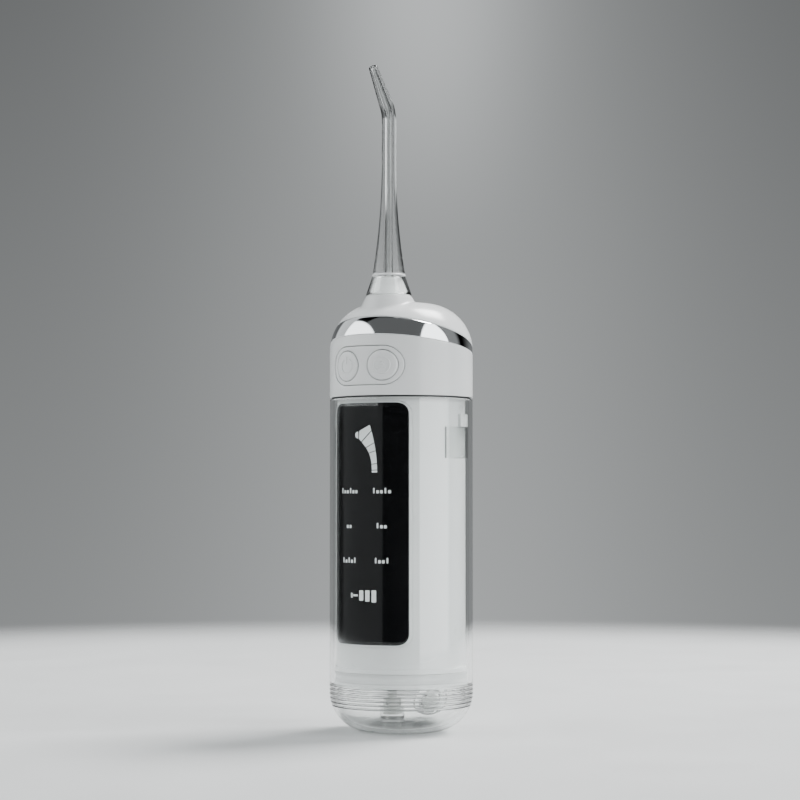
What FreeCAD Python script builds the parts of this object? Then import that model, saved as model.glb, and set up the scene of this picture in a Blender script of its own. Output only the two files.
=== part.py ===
"""A cordless water flosser with a clear pull-down tank, as a parametric FreeCAD document.

Frame: millimetres, +Z up, origin at the centre of the tank's flat bottom, -Y towards the display (the front).
The handle (inner housing and head) is fixed. The clear tank slides down it, the nozzle swivels in the neck.
"""

import FreeCAD
import Part
import math
import os
import re

import Sketcher

Vector = FreeCAD.Vector
Rotation = FreeCAD.Rotation

DIMENSIONS = [
    # alias, value, what it is
    ("body_radius", 23.0, "outside of tank and head"),
    ("tank_wall", 1.5, "clear wall of the tank"),
    ("corner_radius", 12.7, "rounding of the tank's bottom"),
    ("tank_top", 106.05, "rim of the tank"),
    ("rib_count", 6, "grip rings round the bottom"),
    ("rib_low", 8.7, "height of the lowest grip ring"),
    ("rib_pitch", 1.3, "from ring to ring"),
    ("rib_depth", 0.28, "depth of a ring's groove"),
    ("rib_radius", 0.42, "section radius of a ring's groove"),
    ("part_gap", 0.2, "gap between a moving piece and its window"),
    ("seal_low", 106.1, "underside of the head's seal"),
    ("housing_radius", 20.6, "outside of the white inner housing"),
    ("housing_wall", 1.5, "wall of the inner housing"),
    ("housing_low", 14.6, "underside of the housing's floor"),
    ("floor_top", 21.0, "joint between floor and housing tube"),
    ("flange_radius", 21.25, "floor flanges beside the seal"),
    ("bush_low", 87.0, "lower edge of the tank's guide bush"),
    ("bush_high", 96.9, "upper edge of the guide bush"),
    ("bush_front", -6.6, "where the guide bush stops on its way to the front"),
    ("lug_height", 3.9, "stop lugs of the housing, above the guide bush"),
    ("lug_angle", 15.0, "degrees round the housing that a lug takes"),
    ("tank_travel", 64.0, "how far the tank pulls down"),
    ("window_radius", 21.15, "front face of the display window"),
    ("window_depth", 1.15, "thickness of the display window"),
    ("window_half", 13.1, "half the window's width across X"),
    ("window_low", 28.6, "lower edge of the window"),
    ("window_high", 104.3, "upper edge of the window"),
    ("window_corner", 3.2, "corner radius of the window"),
    ("bezel_width", 0.55, "white frame round the window"),
    ("head_low", 106.6, "underside of the head"),
    ("head_wall", 2.2, "wall of the head shells"),
    ("dome_start", 121.9, "where the head starts to round in"),
    ("dome_radius", 15.0, "rounding of the head"),
    ("trim_low", 122.3, "trim's lower plane at the axis"),
    ("trim_low_tilt", 9.1, "degrees that plane falls to the back"),
    ("trim_high", 126.15, "trim's upper plane at the axis"),
    ("trim_high_tilt", 16.0, "degrees that plane falls to the back"),
    ("nozzle_forward", 7.5, "nozzle axis ahead of the body's axis"),
    ("neck_top", 138.8, "top of the neck"),
    ("neck_radius", 7.4, "neck at its top"),
    ("neck_slope", 0.45, "radius gained per millimetre down the neck"),
    ("neck_low", 131.0, "bottom of the neck's cone, inside the dome"),
    ("neck_bore", 6.0, "bore of the neck"),
    ("neck_fillet", 1.0, "where the neck runs into the dome"),
    ("swivel_radius", 5.0, "swivel seat in its bearing"),
    ("running_fit", 0.08, "radial clearance of running fits"),
    ("stem_radius", 2.3, "nozzle stem"),
    ("stem_low", 123.8, "lower end of the nozzle stem"),
    ("skirt_gap", 0.3, "gap under the nozzle's skirt"),
    ("ring_height", 145.6, "middle of the white ring on the nozzle"),
    ("ring_radius", 5.2, "nozzle at that ring"),
    ("tube_radius", 2.3, "nozzle tube"),
    ("tube_start", 182.0, "where the flare ends"),
    ("bend_start", 195.6, "where the nozzle's bend begins"),
    ("bend_radius", 8.0, "radius of the nozzle's bend"),
    ("bend_angle", 36.0, "degrees that the tip leans forward"),
    ("tip_length", 13.7, "straight tapered tip"),
    ("tip_radius", 1.4, "end of the tip"),
    ("bore_radius", 0.9, "water way in the nozzle"),
    ("jet_radius", 0.5, "narrowest part of that way, at the tip"),
    ("groove_depth", 0.6, "grooves for rings, seals and the catch"),
    ("seal_width", 1.0, "seal on the stem"),
    ("ring_width", 0.7, "white ring on the nozzle"),
    ("key_x", 6.5, "each button's distance from the middle"),
    ("key_height", 116.0, "height of the buttons' centre"),
    ("key_radius", 4.7, "radius of a button"),
    ("key_travel", 0.6, "how far a button presses"),
    ("pill_half", 13.1, "half the length of the button panel"),
    ("pill_radius", 6.25, "half the height of the button panel"),
    ("port_height", 113.2, "height of the charging port"),
    ("port_width", 9.6, "mouth of the charging port"),
    ("port_depth", 3.8, "height of that mouth"),
    ("flap_width", 13.0, "charging cover"),
    ("flap_height", 6.6, "charging cover"),
    ("flap_thick", 1.1, "charging cover"),
    ("catch_low", 126.5, "underside of the nozzle catch"),
    ("catch_thick", 1.3, "nozzle catch"),
    ("catch_travel", 1.6, "how far the release button presses"),
    ("release_half", 5.0, "half the width of the release button"),
    ("release_tall", 5.0, "height of the release button"),
    ("fill_tilt", 30.0, "degrees that the filling hole looks down"),
    ("fill_radius", 3.5, "filling hole"),
    ("fill_lid", 4.4, "radius of the filling plug's lid"),
    ("lid_depth", 1.6, "thickness of that lid"),
    ("lid_hinge", 5.0, "from the hole's axis up to the lid's hinge"),
    ("ear_radius", 0.55, "hinge ears of the lid"),
    ("suction_x", -9.5, "suction pipe"),
    ("suction_y", 9.5, "suction pipe"),
    ("suction_radius", 1.5, "suction pipe"),
    ("pipe_low", 8.6, "lower end of the suction pipe"),
    ("foot_low", 3.4, "underside of the suction foot, in its well"),
    ("guide_radius", 3.0, "sleeve round the suction pipe"),
    ("cell_radius", 9.15, "battery cell"),
    ("cell_length", 49.5, "battery cell"),
    ("cell_x", 6.5, "battery cell"),
    ("cell_y", 4.5, "battery cell"),
    ("cell_low", 22.4, "battery cell"),
    ("pole_radius", 3.2, "battery cell's raised pole"),
    ("tab_half", 3.0, "half the width of a battery tab"),
    ("plate_front", 14.0, "front face of the chassis plate"),
    ("plate_thick", 1.4, "chassis plate"),
    ("shelf_low", 72.9, "chassis shelf over the battery"),
    ("arm_low", 104.6, "chassis arm round the pump cylinder"),
    ("drive_y", -2.0, "plane of the motor and gear axes"),
    ("motor_height", 82.0, "motor axis"),
    ("motor_radius", 7.75, "motor can"),
    ("motor_low", -11.5, "back end of the motor can"),
    ("motor_length", 20.0, "motor can"),
    ("motor_flat", 6.1, "motor axis to the can's flat sides"),
    ("shaft_radius", 1.0, "motor shaft"),
    ("shaft_fit", 0.06, "clearance round the motor shaft"),
    ("screw_radius", 0.8, "motor screws"),
    ("screw_head", 1.25, "motor screws' heads"),
    ("screw_reach", 4.0, "motor screws' distance from the motor axis"),
    ("frame_low", 74.4, "foot of the gear frame"),
    ("frame_sheet", 1.6, "foot and cheek of the gear frame"),
    ("frame_end", 17.0, "outer face of the gear frame"),
    ("frame_half", 4.0, "half the depth of the gear frame"),
    ("axle_radius", 1.25, "drive gear's axle"),
    ("wheel_back", 12.0, "inner face of the drive gear"),
    ("wheel_width", 2.6, "drive gear"),
    ("pinion_width", 3.4, "pinion"),
    ("gear_module", 0.5, "teeth"),
    ("pinion_teeth", 12, "on the motor shaft"),
    ("wheel_teeth", 36, "on the drive gear"),
    ("crank_throw", 1.5, "crank pin's distance from the gear's axis"),
    ("crank_radius", 0.75, "crank pin"),
    ("pump_x", 10.0, "pump axis"),
    ("piston_radius", 3.0, "pump piston"),
    ("pump_low", 103.8, "open end of the pump cylinder"),
    ("pump_top", 111.5, "closed end of the pump cylinder"),
    ("pump_wall", 1.5, "pump cylinder"),
    ("pump_flange", 2.5, "flange of the pump cylinder, beyond its bore"),
    ("piston_low", 105.5, "underside of the piston"),
    ("port_rise", 2.9, "pump head's ports above the cylinder"),
    ("hose_radius", 1.9, "hoses"),
    ("hose_bore", 0.9, "water ways of hoses, pump head and manifold"),
    ("hose_start", 5.9, "pump axis to where a hose starts"),
    ("hose_depth", 2.2, "how far from the nozzle's axis the outlet hose ends"),
    ("hose_bend", 6.0, "bend of the inlet hose"),
    ("manifold_radius", 3.6, "outlet manifold"),
    ("board_y", -14.6, "front face of the main board"),
    ("board_half", 10.5, "half the width of the main board"),
    ("board_low", 30.0, "main board"),
    ("board_high", 123.0, "main board"),
    ("board_thick", 1.2, "main board"),
    ("light_half", 8.0, "half the width of the light guide"),
    ("light_low", 38.0, "light guide"),
    ("light_high", 98.0, "light guide"),
    ("light_front", -18.0, "light guide"),
    ("led_low", 46.0, "lowest pair of display lights"),
    ("led_pitch", 12.0, "from pair to pair"),
    ("led_x", 4.0, "each display light's distance from the middle"),
    ("switch_half", 2.2, "half the width of a switch"),
    ("spring_front", 5.4, "release spring's end at the post"),
    ("flange_front", 13.2, "inner face of the release button's flange"),
]
NAMES = {alias for alias, _, _ in DIMENSIONS}

doc = FreeCAD.newDocument("water_flosser")
sheet = doc.addObject("Spreadsheet::Sheet", "Dims")
kept = []


def fill_sheet():
    for row, (alias, value, note) in enumerate(DIMENSIONS, 1):
        sheet.set(f"A{row}", alias)
        sheet.set(f"B{row}", str(value))
        sheet.setAlias(f"B{row}", alias)
        sheet.set(f"C{row}", note)
    doc.recompute()


def cells(text):
    """The same formula with each dimension's name pointing at its cell."""
    return re.sub(r"[a-z_]+", lambda m: "Dims." + m[0] if m[0] in NAMES else m[0], str(text))


def value(text):
    """What a formula comes to, as a plain number."""
    return float(sheet.evalExpression(cells(text)))


def bind(thing, **formulas):
    for name, text in formulas.items():
        thing.setExpression(name, cells(text))
    return thing


def keep(label, thing):
    """Names a finished sub-part: its label is its file's name."""
    thing.Label = label
    kept.append(thing)
    return thing


AXES = {
    "Z": Rotation(),
    "X": Rotation(Vector(0, 1, 0), 90),
    "Y": Rotation(Vector(1, 0, 0), -90),
    "fill": None,
}


def place(thing, at=(0, 0, 0), axis="Z"):
    """Moves a piece to a point given by formulas, with its own Z along the named axis."""
    turn = AXES[axis] or Rotation(Vector(1, 0, 0), -90 - value("fill_tilt"))
    thing.Placement = FreeCAD.Placement(Vector(), turn)
    for letter, text in zip("xyz", at):
        thing.setExpression(f"Placement.Base.{letter}", cells(text))
    return thing


def add(kind):
    return doc.addObject(kind, kind.split("::")[1])


def cylinder(radius, height, at=(0, 0, 0), axis="Z", angle=None):
    thing = bind(add("Part::Cylinder"), Radius=radius, Height=height)
    if angle is not None:
        bind(thing, Angle=angle)
    return place(thing, at, axis)


def cone(low, high, height, at=(0, 0, 0), axis="Z"):
    return place(bind(add("Part::Cone"), Radius1=low, Radius2=high, Height=height), at, axis)


def box(x, y, z):
    """A box from three pairs of formulas, each the low and the high end."""
    ends = (x, y, z)
    sizes = [f"({high}) - ({low})" for low, high in ends]
    thing = bind(add("Part::Box"), Length=sizes[0], Width=sizes[1], Height=sizes[2])
    return place(thing, [low for low, _ in ends])


def cut(base, *tools):
    for tool in tools:
        result = add("Part::Cut")
        result.Base = base
        result.Tool = tool
        base = result
    return base


def fuse(*pieces):
    result = add("Part::MultiFuse")
    result.Shapes = list(pieces)
    return result


def common(*pieces):
    result = add("Part::MultiCommon")
    result.Shapes = list(pieces)
    return result


def group(*pieces):
    result = add("Part::Compound")
    result.Links = list(pieces)
    return result


def feature(shape):
    thing = add("Part::Feature")
    thing.Shape = shape
    return thing


def sketch_on(body, role):
    plane = next(o for o in body.Origin.OriginFeatures if o.Role == role)
    sketch = body.newObject("Sketcher::SketchObject", "Sketch")
    sketch.AttachmentSupport = (plane, "")
    sketch.MapMode = "FlatFace"
    return sketch


def arc_between(a, b, radius):
    """The anticlockwise arc of that radius from a to b, which bulges to the right of the way there."""
    middle = (a + b) * 0.5
    along = b - a
    left = Vector(-along.y, along.x, 0).normalize()
    rise = math.sqrt(max(radius**2 - along.Length**2 / 4, 0))
    centre = middle + left * rise
    return Part.Arc(a, centre - left * radius, b)


def draw_outline(sketch, outline):
    """Draws a closed outline. A point is (u, v), or (u, v, radius) where the side that ends at it is an arc:
    a positive radius bulges to the left of the way there, a negative one to the right."""
    points = [Vector(value(p[0]), value(p[1]), 0) for p in outline]
    for i, point in enumerate(outline):
        a, b = points[i - 1], points[i]
        if len(point) == 2:
            sketch.addGeometry(Part.LineSegment(a, b), False)
            continue
        radius = value(point[2])
        arc = arc_between(b, a, radius) if radius > 0 else arc_between(a, b, -radius)
        sketch.addGeometry(arc, False)
    # which end of each side is the outline's point i (sketch ends: 1 is the start, 2 the end)
    geometry = sketch.Geometry
    for i, point in enumerate(points):
        end = 2 if (geometry[i].EndPoint - point).Length < 1e-6 else 1
        after = (i + 1) % len(points)
        start = 1 if (geometry[after].StartPoint - point).Length < 1e-6 else 2
        sketch.addConstraint(Sketcher.Constraint("Coincident", i, end, after, start))
        for kind, text, number, axis in (
            ("DistanceX", outline[i][0], point.x, -2),
            ("DistanceY", outline[i][1], point.y, -1),
        ):
            if abs(number) < 1e-9:
                sketch.addConstraint(Sketcher.Constraint("PointOnObject", i, end, axis))
            else:
                index = sketch.addConstraint(Sketcher.Constraint(kind, -1, 1, i, end, number))
                sketch.setExpression(f"Constraints[{index}]", cells(text))
        if len(outline[i]) == 3:
            index = sketch.addConstraint(Sketcher.Constraint("Radius", i, abs(value(outline[i][2]))))
            sketch.setExpression(f"Constraints[{index}]", cells(f"abs({outline[i][2]})"))


def turned(outline, at=(0, 0, 0), axis="Z"):
    """A lathe part: its outline in radius and height, revolved about its own Z."""
    body = add("PartDesign::Body")
    sketch = sketch_on(body, "XZ_Plane")
    draw_outline(sketch, outline)
    turn = body.newObject("PartDesign::Revolution", "Revolution")
    turn.Profile = sketch
    turn.ReferenceAxis = (sketch, ["V_Axis"])
    turn.Angle = 360
    sketch.Visibility = False
    return place(body, at, axis)


def padded(outline, length, at=(0, 0, 0)):
    """A prism: its outline in X and Z, padded towards -Y from the given place."""
    body = add("PartDesign::Body")
    sketch = sketch_on(body, "XZ_Plane")
    draw_outline(sketch, outline)
    pad = body.newObject("PartDesign::Pad", "Pad")
    pad.Profile = sketch
    bind(pad, Length=length)
    return place(body, at)


def rounded_box(half, low, high, radius):
    """Outline of a rectangle about X = 0 with rounded corners."""
    return [
        (f"{half}", f"{high} - {radius}"),
        (f"{half} - {radius}", f"{high}", f"-({radius})"),
        (f"-({half}) + {radius}", f"{high}"),
        (f"-({half})", f"{high} - {radius}", f"-({radius})"),
        (f"-({half})", f"{low} + {radius}"),
        (f"-({half}) + {radius}", f"{low}", f"-({radius})"),
        (f"{half} - {radius}", f"{low}"),
        (f"{half}", f"{low} + {radius}", f"-({radius})"),
    ]


def front_prism(half, low, high, radius):
    """A rounded bar from the middle of the object out through its front."""
    return padded(rounded_box(half, low, high, radius), "body_radius + 7")


def window_prism(grow):
    """The display window's outline, grown by a margin, as a bar out through the front."""
    half, low, high, corner = "window_half", "window_low", "window_high", "window_corner"
    return front_prism(f"{half} + {grow}", f"{low} - {grow}", f"{high} + {grow}", f"{corner} + {grow}")


def shell(outer, inner, low, high):
    return turned([(inner, low), (outer, low), (outer, high), (inner, high)])


# ---------------------------------------------------------------- tank


def bowl(outside, wall, top):
    """Outline of the solid that fills the tank's outside, moved in by wall."""
    return [
        ("0", f"{wall}"),
        (f"{outside} - corner_radius", f"{wall}"),
        (f"{outside} - ({wall})", "corner_radius", f"-(corner_radius - ({wall}))"),
        (f"{outside} - ({wall})", top),
        ("0", top),
    ]


def fill_point(out):
    """A point on the filling hole's axis, that far outside the tank's surface."""
    reach = f"(corner_radius + ({out}))"
    return (
        "0",
        f"body_radius - corner_radius + {reach} * cos(fill_tilt)",
        f"corner_radius - {reach} * sin(fill_tilt)",
    )


def make_tank():
    outside = turned(bowl("body_radius", "0", "tank_top"))
    inside = turned(bowl("body_radius", "tank_wall", "tank_top + 1"))
    grooves = []
    for k in range(int(value("rib_count"))):
        height = f"(rib_low + {k} * rib_pitch)"
        drop = f"max(corner_radius - {height}; 0)"
        surface = f"body_radius - corner_radius + sqrt(corner_radius^2 - ({drop})^2)"
        ring = bind(add("Part::Torus"), Radius1=f"{surface} + rib_radius - rib_depth", Radius2="rib_radius")
        grooves.append(place(ring, ("0", "0", height)))
    boss = common(cylinder("fill_lid + 1.6", "6", fill_point("-4.2"), "fill"), outside)
    foot_boss = common(cylinder("guide_radius + 1.1", "5.6", ("suction_x", "suction_y", "0.2")), outside)
    lid_pocket = cylinder("fill_lid + part_gap", "4", fill_point("-lid_depth - 0.1"), "fill")
    hinge_notch = cylinder("ear_radius + 0.4", "4.6", ("-2.3", *fill_spot("lid_hinge", "-1.4")[1:]), "X")
    nail_notch = place(bind(add("Part::Sphere"), Radius="1.5"), fill_spot("-lid_hinge + 0.1", "-0.35"))
    walls = fuse(cut(outside, inside, *grooves), boss, foot_boss)
    sleeve = cut(
        walls,
        lid_pocket,
        hinge_notch,
        nail_notch,
        cylinder("fill_radius", "6", fill_point("-4.5"), "fill"),
        cylinder("guide_radius", "3", ("suction_x", "suction_y", "foot_low")),
    )
    keep("tank_sleeve", sleeve)


def fill_spot(along, out):
    """A point beside the filling hole: so far up the wall's slope, and so far outside its surface."""
    x, y, z = fill_point(out)
    return x, f"{y} + ({along}) * sin(fill_tilt)", f"{z} + ({along}) * cos(fill_tilt)"


def make_fill_plug():
    lid = cylinder("fill_lid", "4", fill_point("-lid_depth"), "fill")
    plug = cone("fill_radius - 0.75", "fill_radius - 0.3", "1.6", fill_point("-lid_depth - 1.6"), "fill")
    ear = cylinder("ear_radius", "4", ("-2", *fill_spot("lid_hinge", "-1.4")[1:]), "X")
    bridge = fill_block("-2", "lid_hinge", "-lid_depth", "4", "2", "0.6")
    outside = turned(bowl("body_radius", "0", "tank_top"))
    keep("fill_plug", fuse(common(lid, outside), plug, ear, bridge))


def fill_block(x, along, out, length, width, height):
    """A block whose corner lies at a fill_spot, and whose sides follow X, the wall's slope and its normal."""
    block = bind(add("Part::Box"), Length=length, Width=width, Height=height)
    _, y, z = fill_spot(along, out)
    turn = Rotation(Vector(1, 0, 0), -90 - value("fill_tilt"))
    # the block's own Z is the wall's normal and its own Y points down the slope
    block.Placement = FreeCAD.Placement(Vector(), turn)
    return bind(block, **{"Placement.Base.x": x, "Placement.Base.y": y, "Placement.Base.z": z})


def make_tank_fittings():
    bush = shell("body_radius - tank_wall", "housing_radius + running_fit", "bush_low", "bush_high")
    wide, tall = ("-body_radius", "body_radius"), ("bush_low - 1", "bush_high + 1")
    front = box(wide, ("-body_radius", "bush_front"), tall)
    keep("guide_bush", cut(bush, front))
    at = ("suction_x", "suction_y")
    foot = cylinder("guide_radius", "6", (*at, "foot_low"))
    slots = [
        box(
            (f"suction_x - 4 * {across} - 0.45", f"suction_x + 4 * {across} + 0.45"),
            (f"suction_y - 4 * {1 - across} - 0.45", f"suction_y + 4 * {1 - across} + 0.45"),
            ("pipe_low - 2.4", "pipe_low - 0.2"),
        )
        for across in (0, 1)
    ]
    well = cylinder("1.2", "5", (*at, "foot_low + 1.2"))
    seat = cylinder("suction_radius", "1.6", (*at, "pipe_low - 0.8"))
    keep("suction_foot", cut(foot, *slots, well, seat))
    length = "(tank_travel + floor_top + 0.2 - pipe_low)"
    pipe = cylinder("suction_radius", length, (*at, "pipe_low"))
    way = cylinder("bore_radius", f"{length} + 2", (*at, "pipe_low - 0.6"))
    keep("suction_pipe", cut(pipe, way))


# ---------------------------------------------------------------- inner housing


def make_housing():
    inner = "(housing_radius - housing_wall)"
    tube = shell("housing_radius", inner, "floor_top", "head_low + 1.5")
    pocket = cut(window_prism("bezel_width"), cylinder("window_radius - window_depth", "head_low + 20"))
    light_hole = front_prism("light_half + 0.4", "light_low - 1", "light_high + 1", "1.5")
    keep("inner_housing", fuse(cut(tube, pocket, light_hole), *stop_lugs()))

    spigot = "(housing_radius - housing_wall - 0.05)"
    floor = turned(
        [
            ("0", "housing_low"),
            ("flange_radius - 0.5", "housing_low"),
            ("flange_radius", "housing_low + 0.5", "-0.5"),
            ("flange_radius", "housing_low + 1.8"),
            ("housing_radius - 1", "housing_low + 1.8"),
            ("housing_radius - 1", "housing_low + 5"),
            ("flange_radius", "housing_low + 5"),
            ("flange_radius", "floor_top"),
            (spigot, "floor_top"),
            (spigot, "floor_top + 2"),
            (f"{spigot} - 1.25", "floor_top + 2"),
            (f"{spigot} - 1.25", "housing_low + 2"),
            ("0", "housing_low + 2"),
        ]
    )
    gland_boss = cylinder("guide_radius + 1.6", "4", ("suction_x", "suction_y", "housing_low + 1"))
    gland_hole = cylinder("guide_radius", "9", ("suction_x", "suction_y", "housing_low - 1"))
    keep("housing_floor", cut(fuse(floor, gland_boss), gland_hole))
    lip, waist = "body_radius - tank_wall - running_fit", "body_radius - tank_wall - 0.5"
    seal = turned(
        [
            ("housing_radius - 1", "housing_low + 1.9"),
            (lip, "housing_low + 1.9"),
            (waist, "housing_low + 2.9"),
            (waist, "housing_low + 3.9"),
            (lip, "housing_low + 4.9"),
            ("housing_radius - 1", "housing_low + 4.9"),
        ]
    )
    keep("piston_seal", seal)


def stop_lugs():
    """Lugs on both sides of the housing that the guide bush meets when the tank is pushed up."""
    lugs = []
    for start in ("0", "180 - lug_angle"):
        sector = cylinder("body_radius - tank_wall - running_fit", "lug_height", angle="lug_angle")
        sector.Placement = FreeCAD.Placement(Vector(), Rotation(Vector(0, 0, 1), value(start)))
        bind(sector, **{"Placement.Base.z": "bush_high + part_gap"})
        lugs.append(cut(sector, cylinder("housing_radius - 0.3", "tank_top")))
    return lugs


def make_suction_guide():
    at = ("suction_x", "suction_y")
    length = "floor_top + tank_travel + 3 - (housing_low + 1.4)"
    guide = cylinder("guide_radius", length, (*at, "housing_low + 1.4"))
    way = cylinder("suction_radius + 0.35", "tank_travel + 26", (*at, "housing_low + 2.6"))
    lower = cylinder("suction_radius + running_fit", "9", (*at, "housing_low"))
    groove = cylinder("suction_radius + 0.9", "1.1", (*at, "housing_low + 1.4"))
    keep("suction_guide", cut(guide, way, lower, groove))
    seal = cylinder("suction_radius + 0.9", "1.1", (*at, "housing_low + 1.4"))
    keep("suction_seal", cut(seal, cylinder("suction_radius + 0.05", "3", (*at, "housing_low + 1"))))
    nut = cut(
        fuse(
            cylinder("guide_radius", "1.4", (*at, "housing_low")),
            cylinder("guide_radius + 1.2", "1.0", (*at, "housing_low - 1.0")),
        ),
        cylinder("suction_radius + running_fit", "4", (*at, "housing_low - 2")),
    )
    keep("suction_gland", nut)


# ---------------------------------------------------------------- display and electronics


def make_display():
    ring = shell("window_radius", "window_radius - window_depth", "window_low - 10", "window_high + 10")
    keep("display_window", common(ring, window_prism("0")))
    keep("display_bezel", common(ring, cut(window_prism("bezel_width"), window_prism("0"))))
    heights = [f"(led_low + {row} * led_pitch)" for row in range(4)]
    deep = ("light_front", "board_y - 1.4")
    guide = box(("-light_half", "light_half"), deep, ("light_low", "light_high"))
    chamber = (("-light_half + 1.5", "light_half - 1.5"), ("light_front + 1", "board_y"))
    chambers = [box(*chamber, (f"{z} - 2", f"{z} + 2")) for z in heights]
    keep("light_guide", cut(guide, *chambers))
    wide, tall = ("-board_half", "board_half"), ("board_low", "board_high")
    keep("main_board", box(wide, ("board_y", "board_y + board_thick"), tall))
    leds = [
        box((f"{x} - 0.8", f"{x} + 0.8"), ("board_y - 0.7", "board_y"), (f"{z} - 0.4", f"{z} + 0.4"))
        for z in heights
        for x in ("-led_x", "led_x")
    ]
    keep("display_leds", group(*leds))
    for name, side in (("power", -1), ("mode", 1)):
        x = f"({side} * key_x)"
        base = box(
            (f"{x} - switch_half", f"{x} + switch_half"),
            ("board_y - 1.5", "board_y"),
            ("key_height - switch_half", "key_height + switch_half"),
        )
        dome = cylinder("1.3", "0.5", (x, "board_y - 2.0", "key_height"), "Y")
        keep(f"{name}_switch", fuse(base, dome))


def make_battery():
    at = ("cell_x", "cell_y")
    can = turned(
        [
            ("0", "0"),
            ("cell_radius - 0.6", "0"),
            ("cell_radius", "0.6", "-0.6"),
            ("cell_radius", "cell_length - 1.4"),
            ("cell_radius - 0.6", "cell_length - 0.8", "-0.6"),
            ("pole_radius", "cell_length - 0.8"),
            ("pole_radius", "cell_length"),
            ("0", "cell_length"),
        ],
        (*at, "cell_low"),
    )
    keep("battery_cell", can)
    tabs = [
        box(
            ("cell_x - tab_half", "cell_x + tab_half"),
            ("cell_y - tab_half", "plate_front - 0.1"),
            (height, f"{height} + 0.2"),
        )
        for height in ("cell_low + cell_length", "cell_low - 0.2")
    ]
    keep("battery_tabs", group(*tabs))


def make_charging_port():
    height = "port_height"

    def bar(half_x, y, half_z):
        return box((f"-{half_x}", f"{half_x}"), y, (f"{height} - {half_z}", f"{height} + {half_z}"))

    shield = bar(4.47, ("plate_front", "20.6"), 1.6)
    mouth = bar(4.15, ("plate_front + 1.2", "21"), 1.28)
    tongue = bar(3.35, ("plate_front + 1.2", "20"), 0.35)
    keep("charging_socket", fuse(cut(shield, mouth), tongue))
    board = box(("-6", "6"), ("plate_front - 1", "plate_front"), (f"{height} - 2.8", f"{height} + 5.8"))
    keep("charging_board", board)
    cover_prism = box(
        ("-flap_width / 2", "flap_width / 2"),
        ("body_radius - 4", "body_radius + 1"),
        (f"{height} - flap_height / 2", f"{height} + flap_height / 2"),
    )
    outer_ring = shell("body_radius", "body_radius - flap_thick", f"{height} - 7", f"{height} + 7")
    plug = box(
        ("-port_width / 2 + 0.9", "port_width / 2 - 0.9"),
        ("body_radius - flap_thick - 1.1", "body_radius - 0.5"),
        (f"{height} - 1.0", f"{height} + 0.7"),
    )
    ear = cylinder("0.4", "8", ("-4", "body_radius - 0.85", f"{height} + flap_height / 2"), "X")
    keep("charging_cover", fuse(common(outer_ring, cover_prism), plug, ear))


# ---------------------------------------------------------------- frame, motor, gears and pump


def make_chassis():
    back, shelf_top = "plate_front", "(shelf_low + 1)"
    plate = box(("-11", "11"), (back, f"{back} + plate_thick"), ("floor_top + 2.1", "head_low + 3.4"))
    shelf = box(("-6", "10"), ("drive_y - 6", back), ("shelf_low", shelf_top))
    behind_motor = ("drive_y + motor_flat + 0.1", "drive_y + motor_flat + 1.3")
    saddle = box(("-6", "8"), behind_motor, (shelf_top, "motor_height + 2"))
    arm = box(("pump_x - 5", "pump_x + 2"), ("drive_y - 5.6", back), ("arm_low", "arm_low + 2.4"))
    cradle = cut(
        box(("-2", "13"), (f"{back} - 5", back), ("40", "44")),
        cylinder("cell_radius + 0.1", "8", ("cell_x", "cell_y", "38")),
    )
    grip, below_arm = "(piston_radius + pump_wall)", "(arm_low - 1.6)"
    bore = cylinder(grip, "6", ("pump_x", "drive_y", below_arm))
    slot = box(("pump_x", "20"), (f"drive_y - {grip}", f"drive_y + {grip}"), (below_arm, f"{below_arm} + 6"))
    keep("chassis", cut(fuse(plate, shelf, saddle, arm, cradle), bore, slot))


def make_motor():
    front = "(motor_low + motor_length)"
    sheet_front = f"{front} + 0.6"

    def on_axis(radius, length, x, height="motor_height"):
        return cylinder(radius, length, (x, "drive_y", height), "X")

    flats = box(
        ("motor_low - 1", f"{front} + 1"),
        ("drive_y - motor_flat", "drive_y + motor_flat"),
        ("motor_height - 12", "motor_height + 12"),
    )
    can = common(on_axis("motor_radius", "motor_length", "motor_low"), flats)
    bore = "shaft_radius + shaft_fit"
    keep("motor_can", cut(can, on_axis(bore, "motor_length + 2", "motor_low - 1")))
    keep("motor_cap", cut(on_axis("5.8", "2.2", "motor_low - 2.2"), on_axis(bore, "1.7", "motor_low - 1.7")))
    keep("motor_shaft", on_axis("shaft_radius", "28", "motor_low - 1.5"))

    # plate, foot and outer cheek that carry the drive gear's axle
    plate = box((front, sheet_front), ("drive_y - 6", "drive_y + 6"), ("frame_low", "frame_low + 12.8"))
    deep = ("drive_y - frame_half", "drive_y + frame_half")
    foot = box((front, "frame_end"), deep, ("frame_low", "frame_low + frame_sheet"))
    cheek = box(("frame_end - frame_sheet", "frame_end"), deep, ("frame_low", f"{wheel_height()} + 4"))
    shaft_hole = on_axis("2 * shaft_radius", "5", f"{front} - 1")
    axle_hole = on_axis("axle_radius", "4", "frame_end - 2", wheel_height())
    screw_heights = [f"motor_height + {side} * screw_reach" for side in (-1, 1)]
    screw_holes = [on_axis("screw_radius", "6", f"{front} - 1", height) for height in screw_heights]
    keep("gear_frame", cut(fuse(plate, foot, cheek), shaft_hole, axle_hole, *screw_holes))
    screws = [
        fuse(
            on_axis("screw_radius", "0.6", front, height),
            on_axis("screw_head", "0.55", sheet_front, height),
        )
        for height in screw_heights
    ]
    keep("motor_screws", group(*screws))
    axle_back = "wheel_back - 0.2"
    keep("gear_axle", on_axis("axle_radius", f"frame_end - ({axle_back})", axle_back, wheel_height()))


def wheel_height():
    return "(motor_height + gear_module * (pinion_teeth + wheel_teeth) / 2)"


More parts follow.
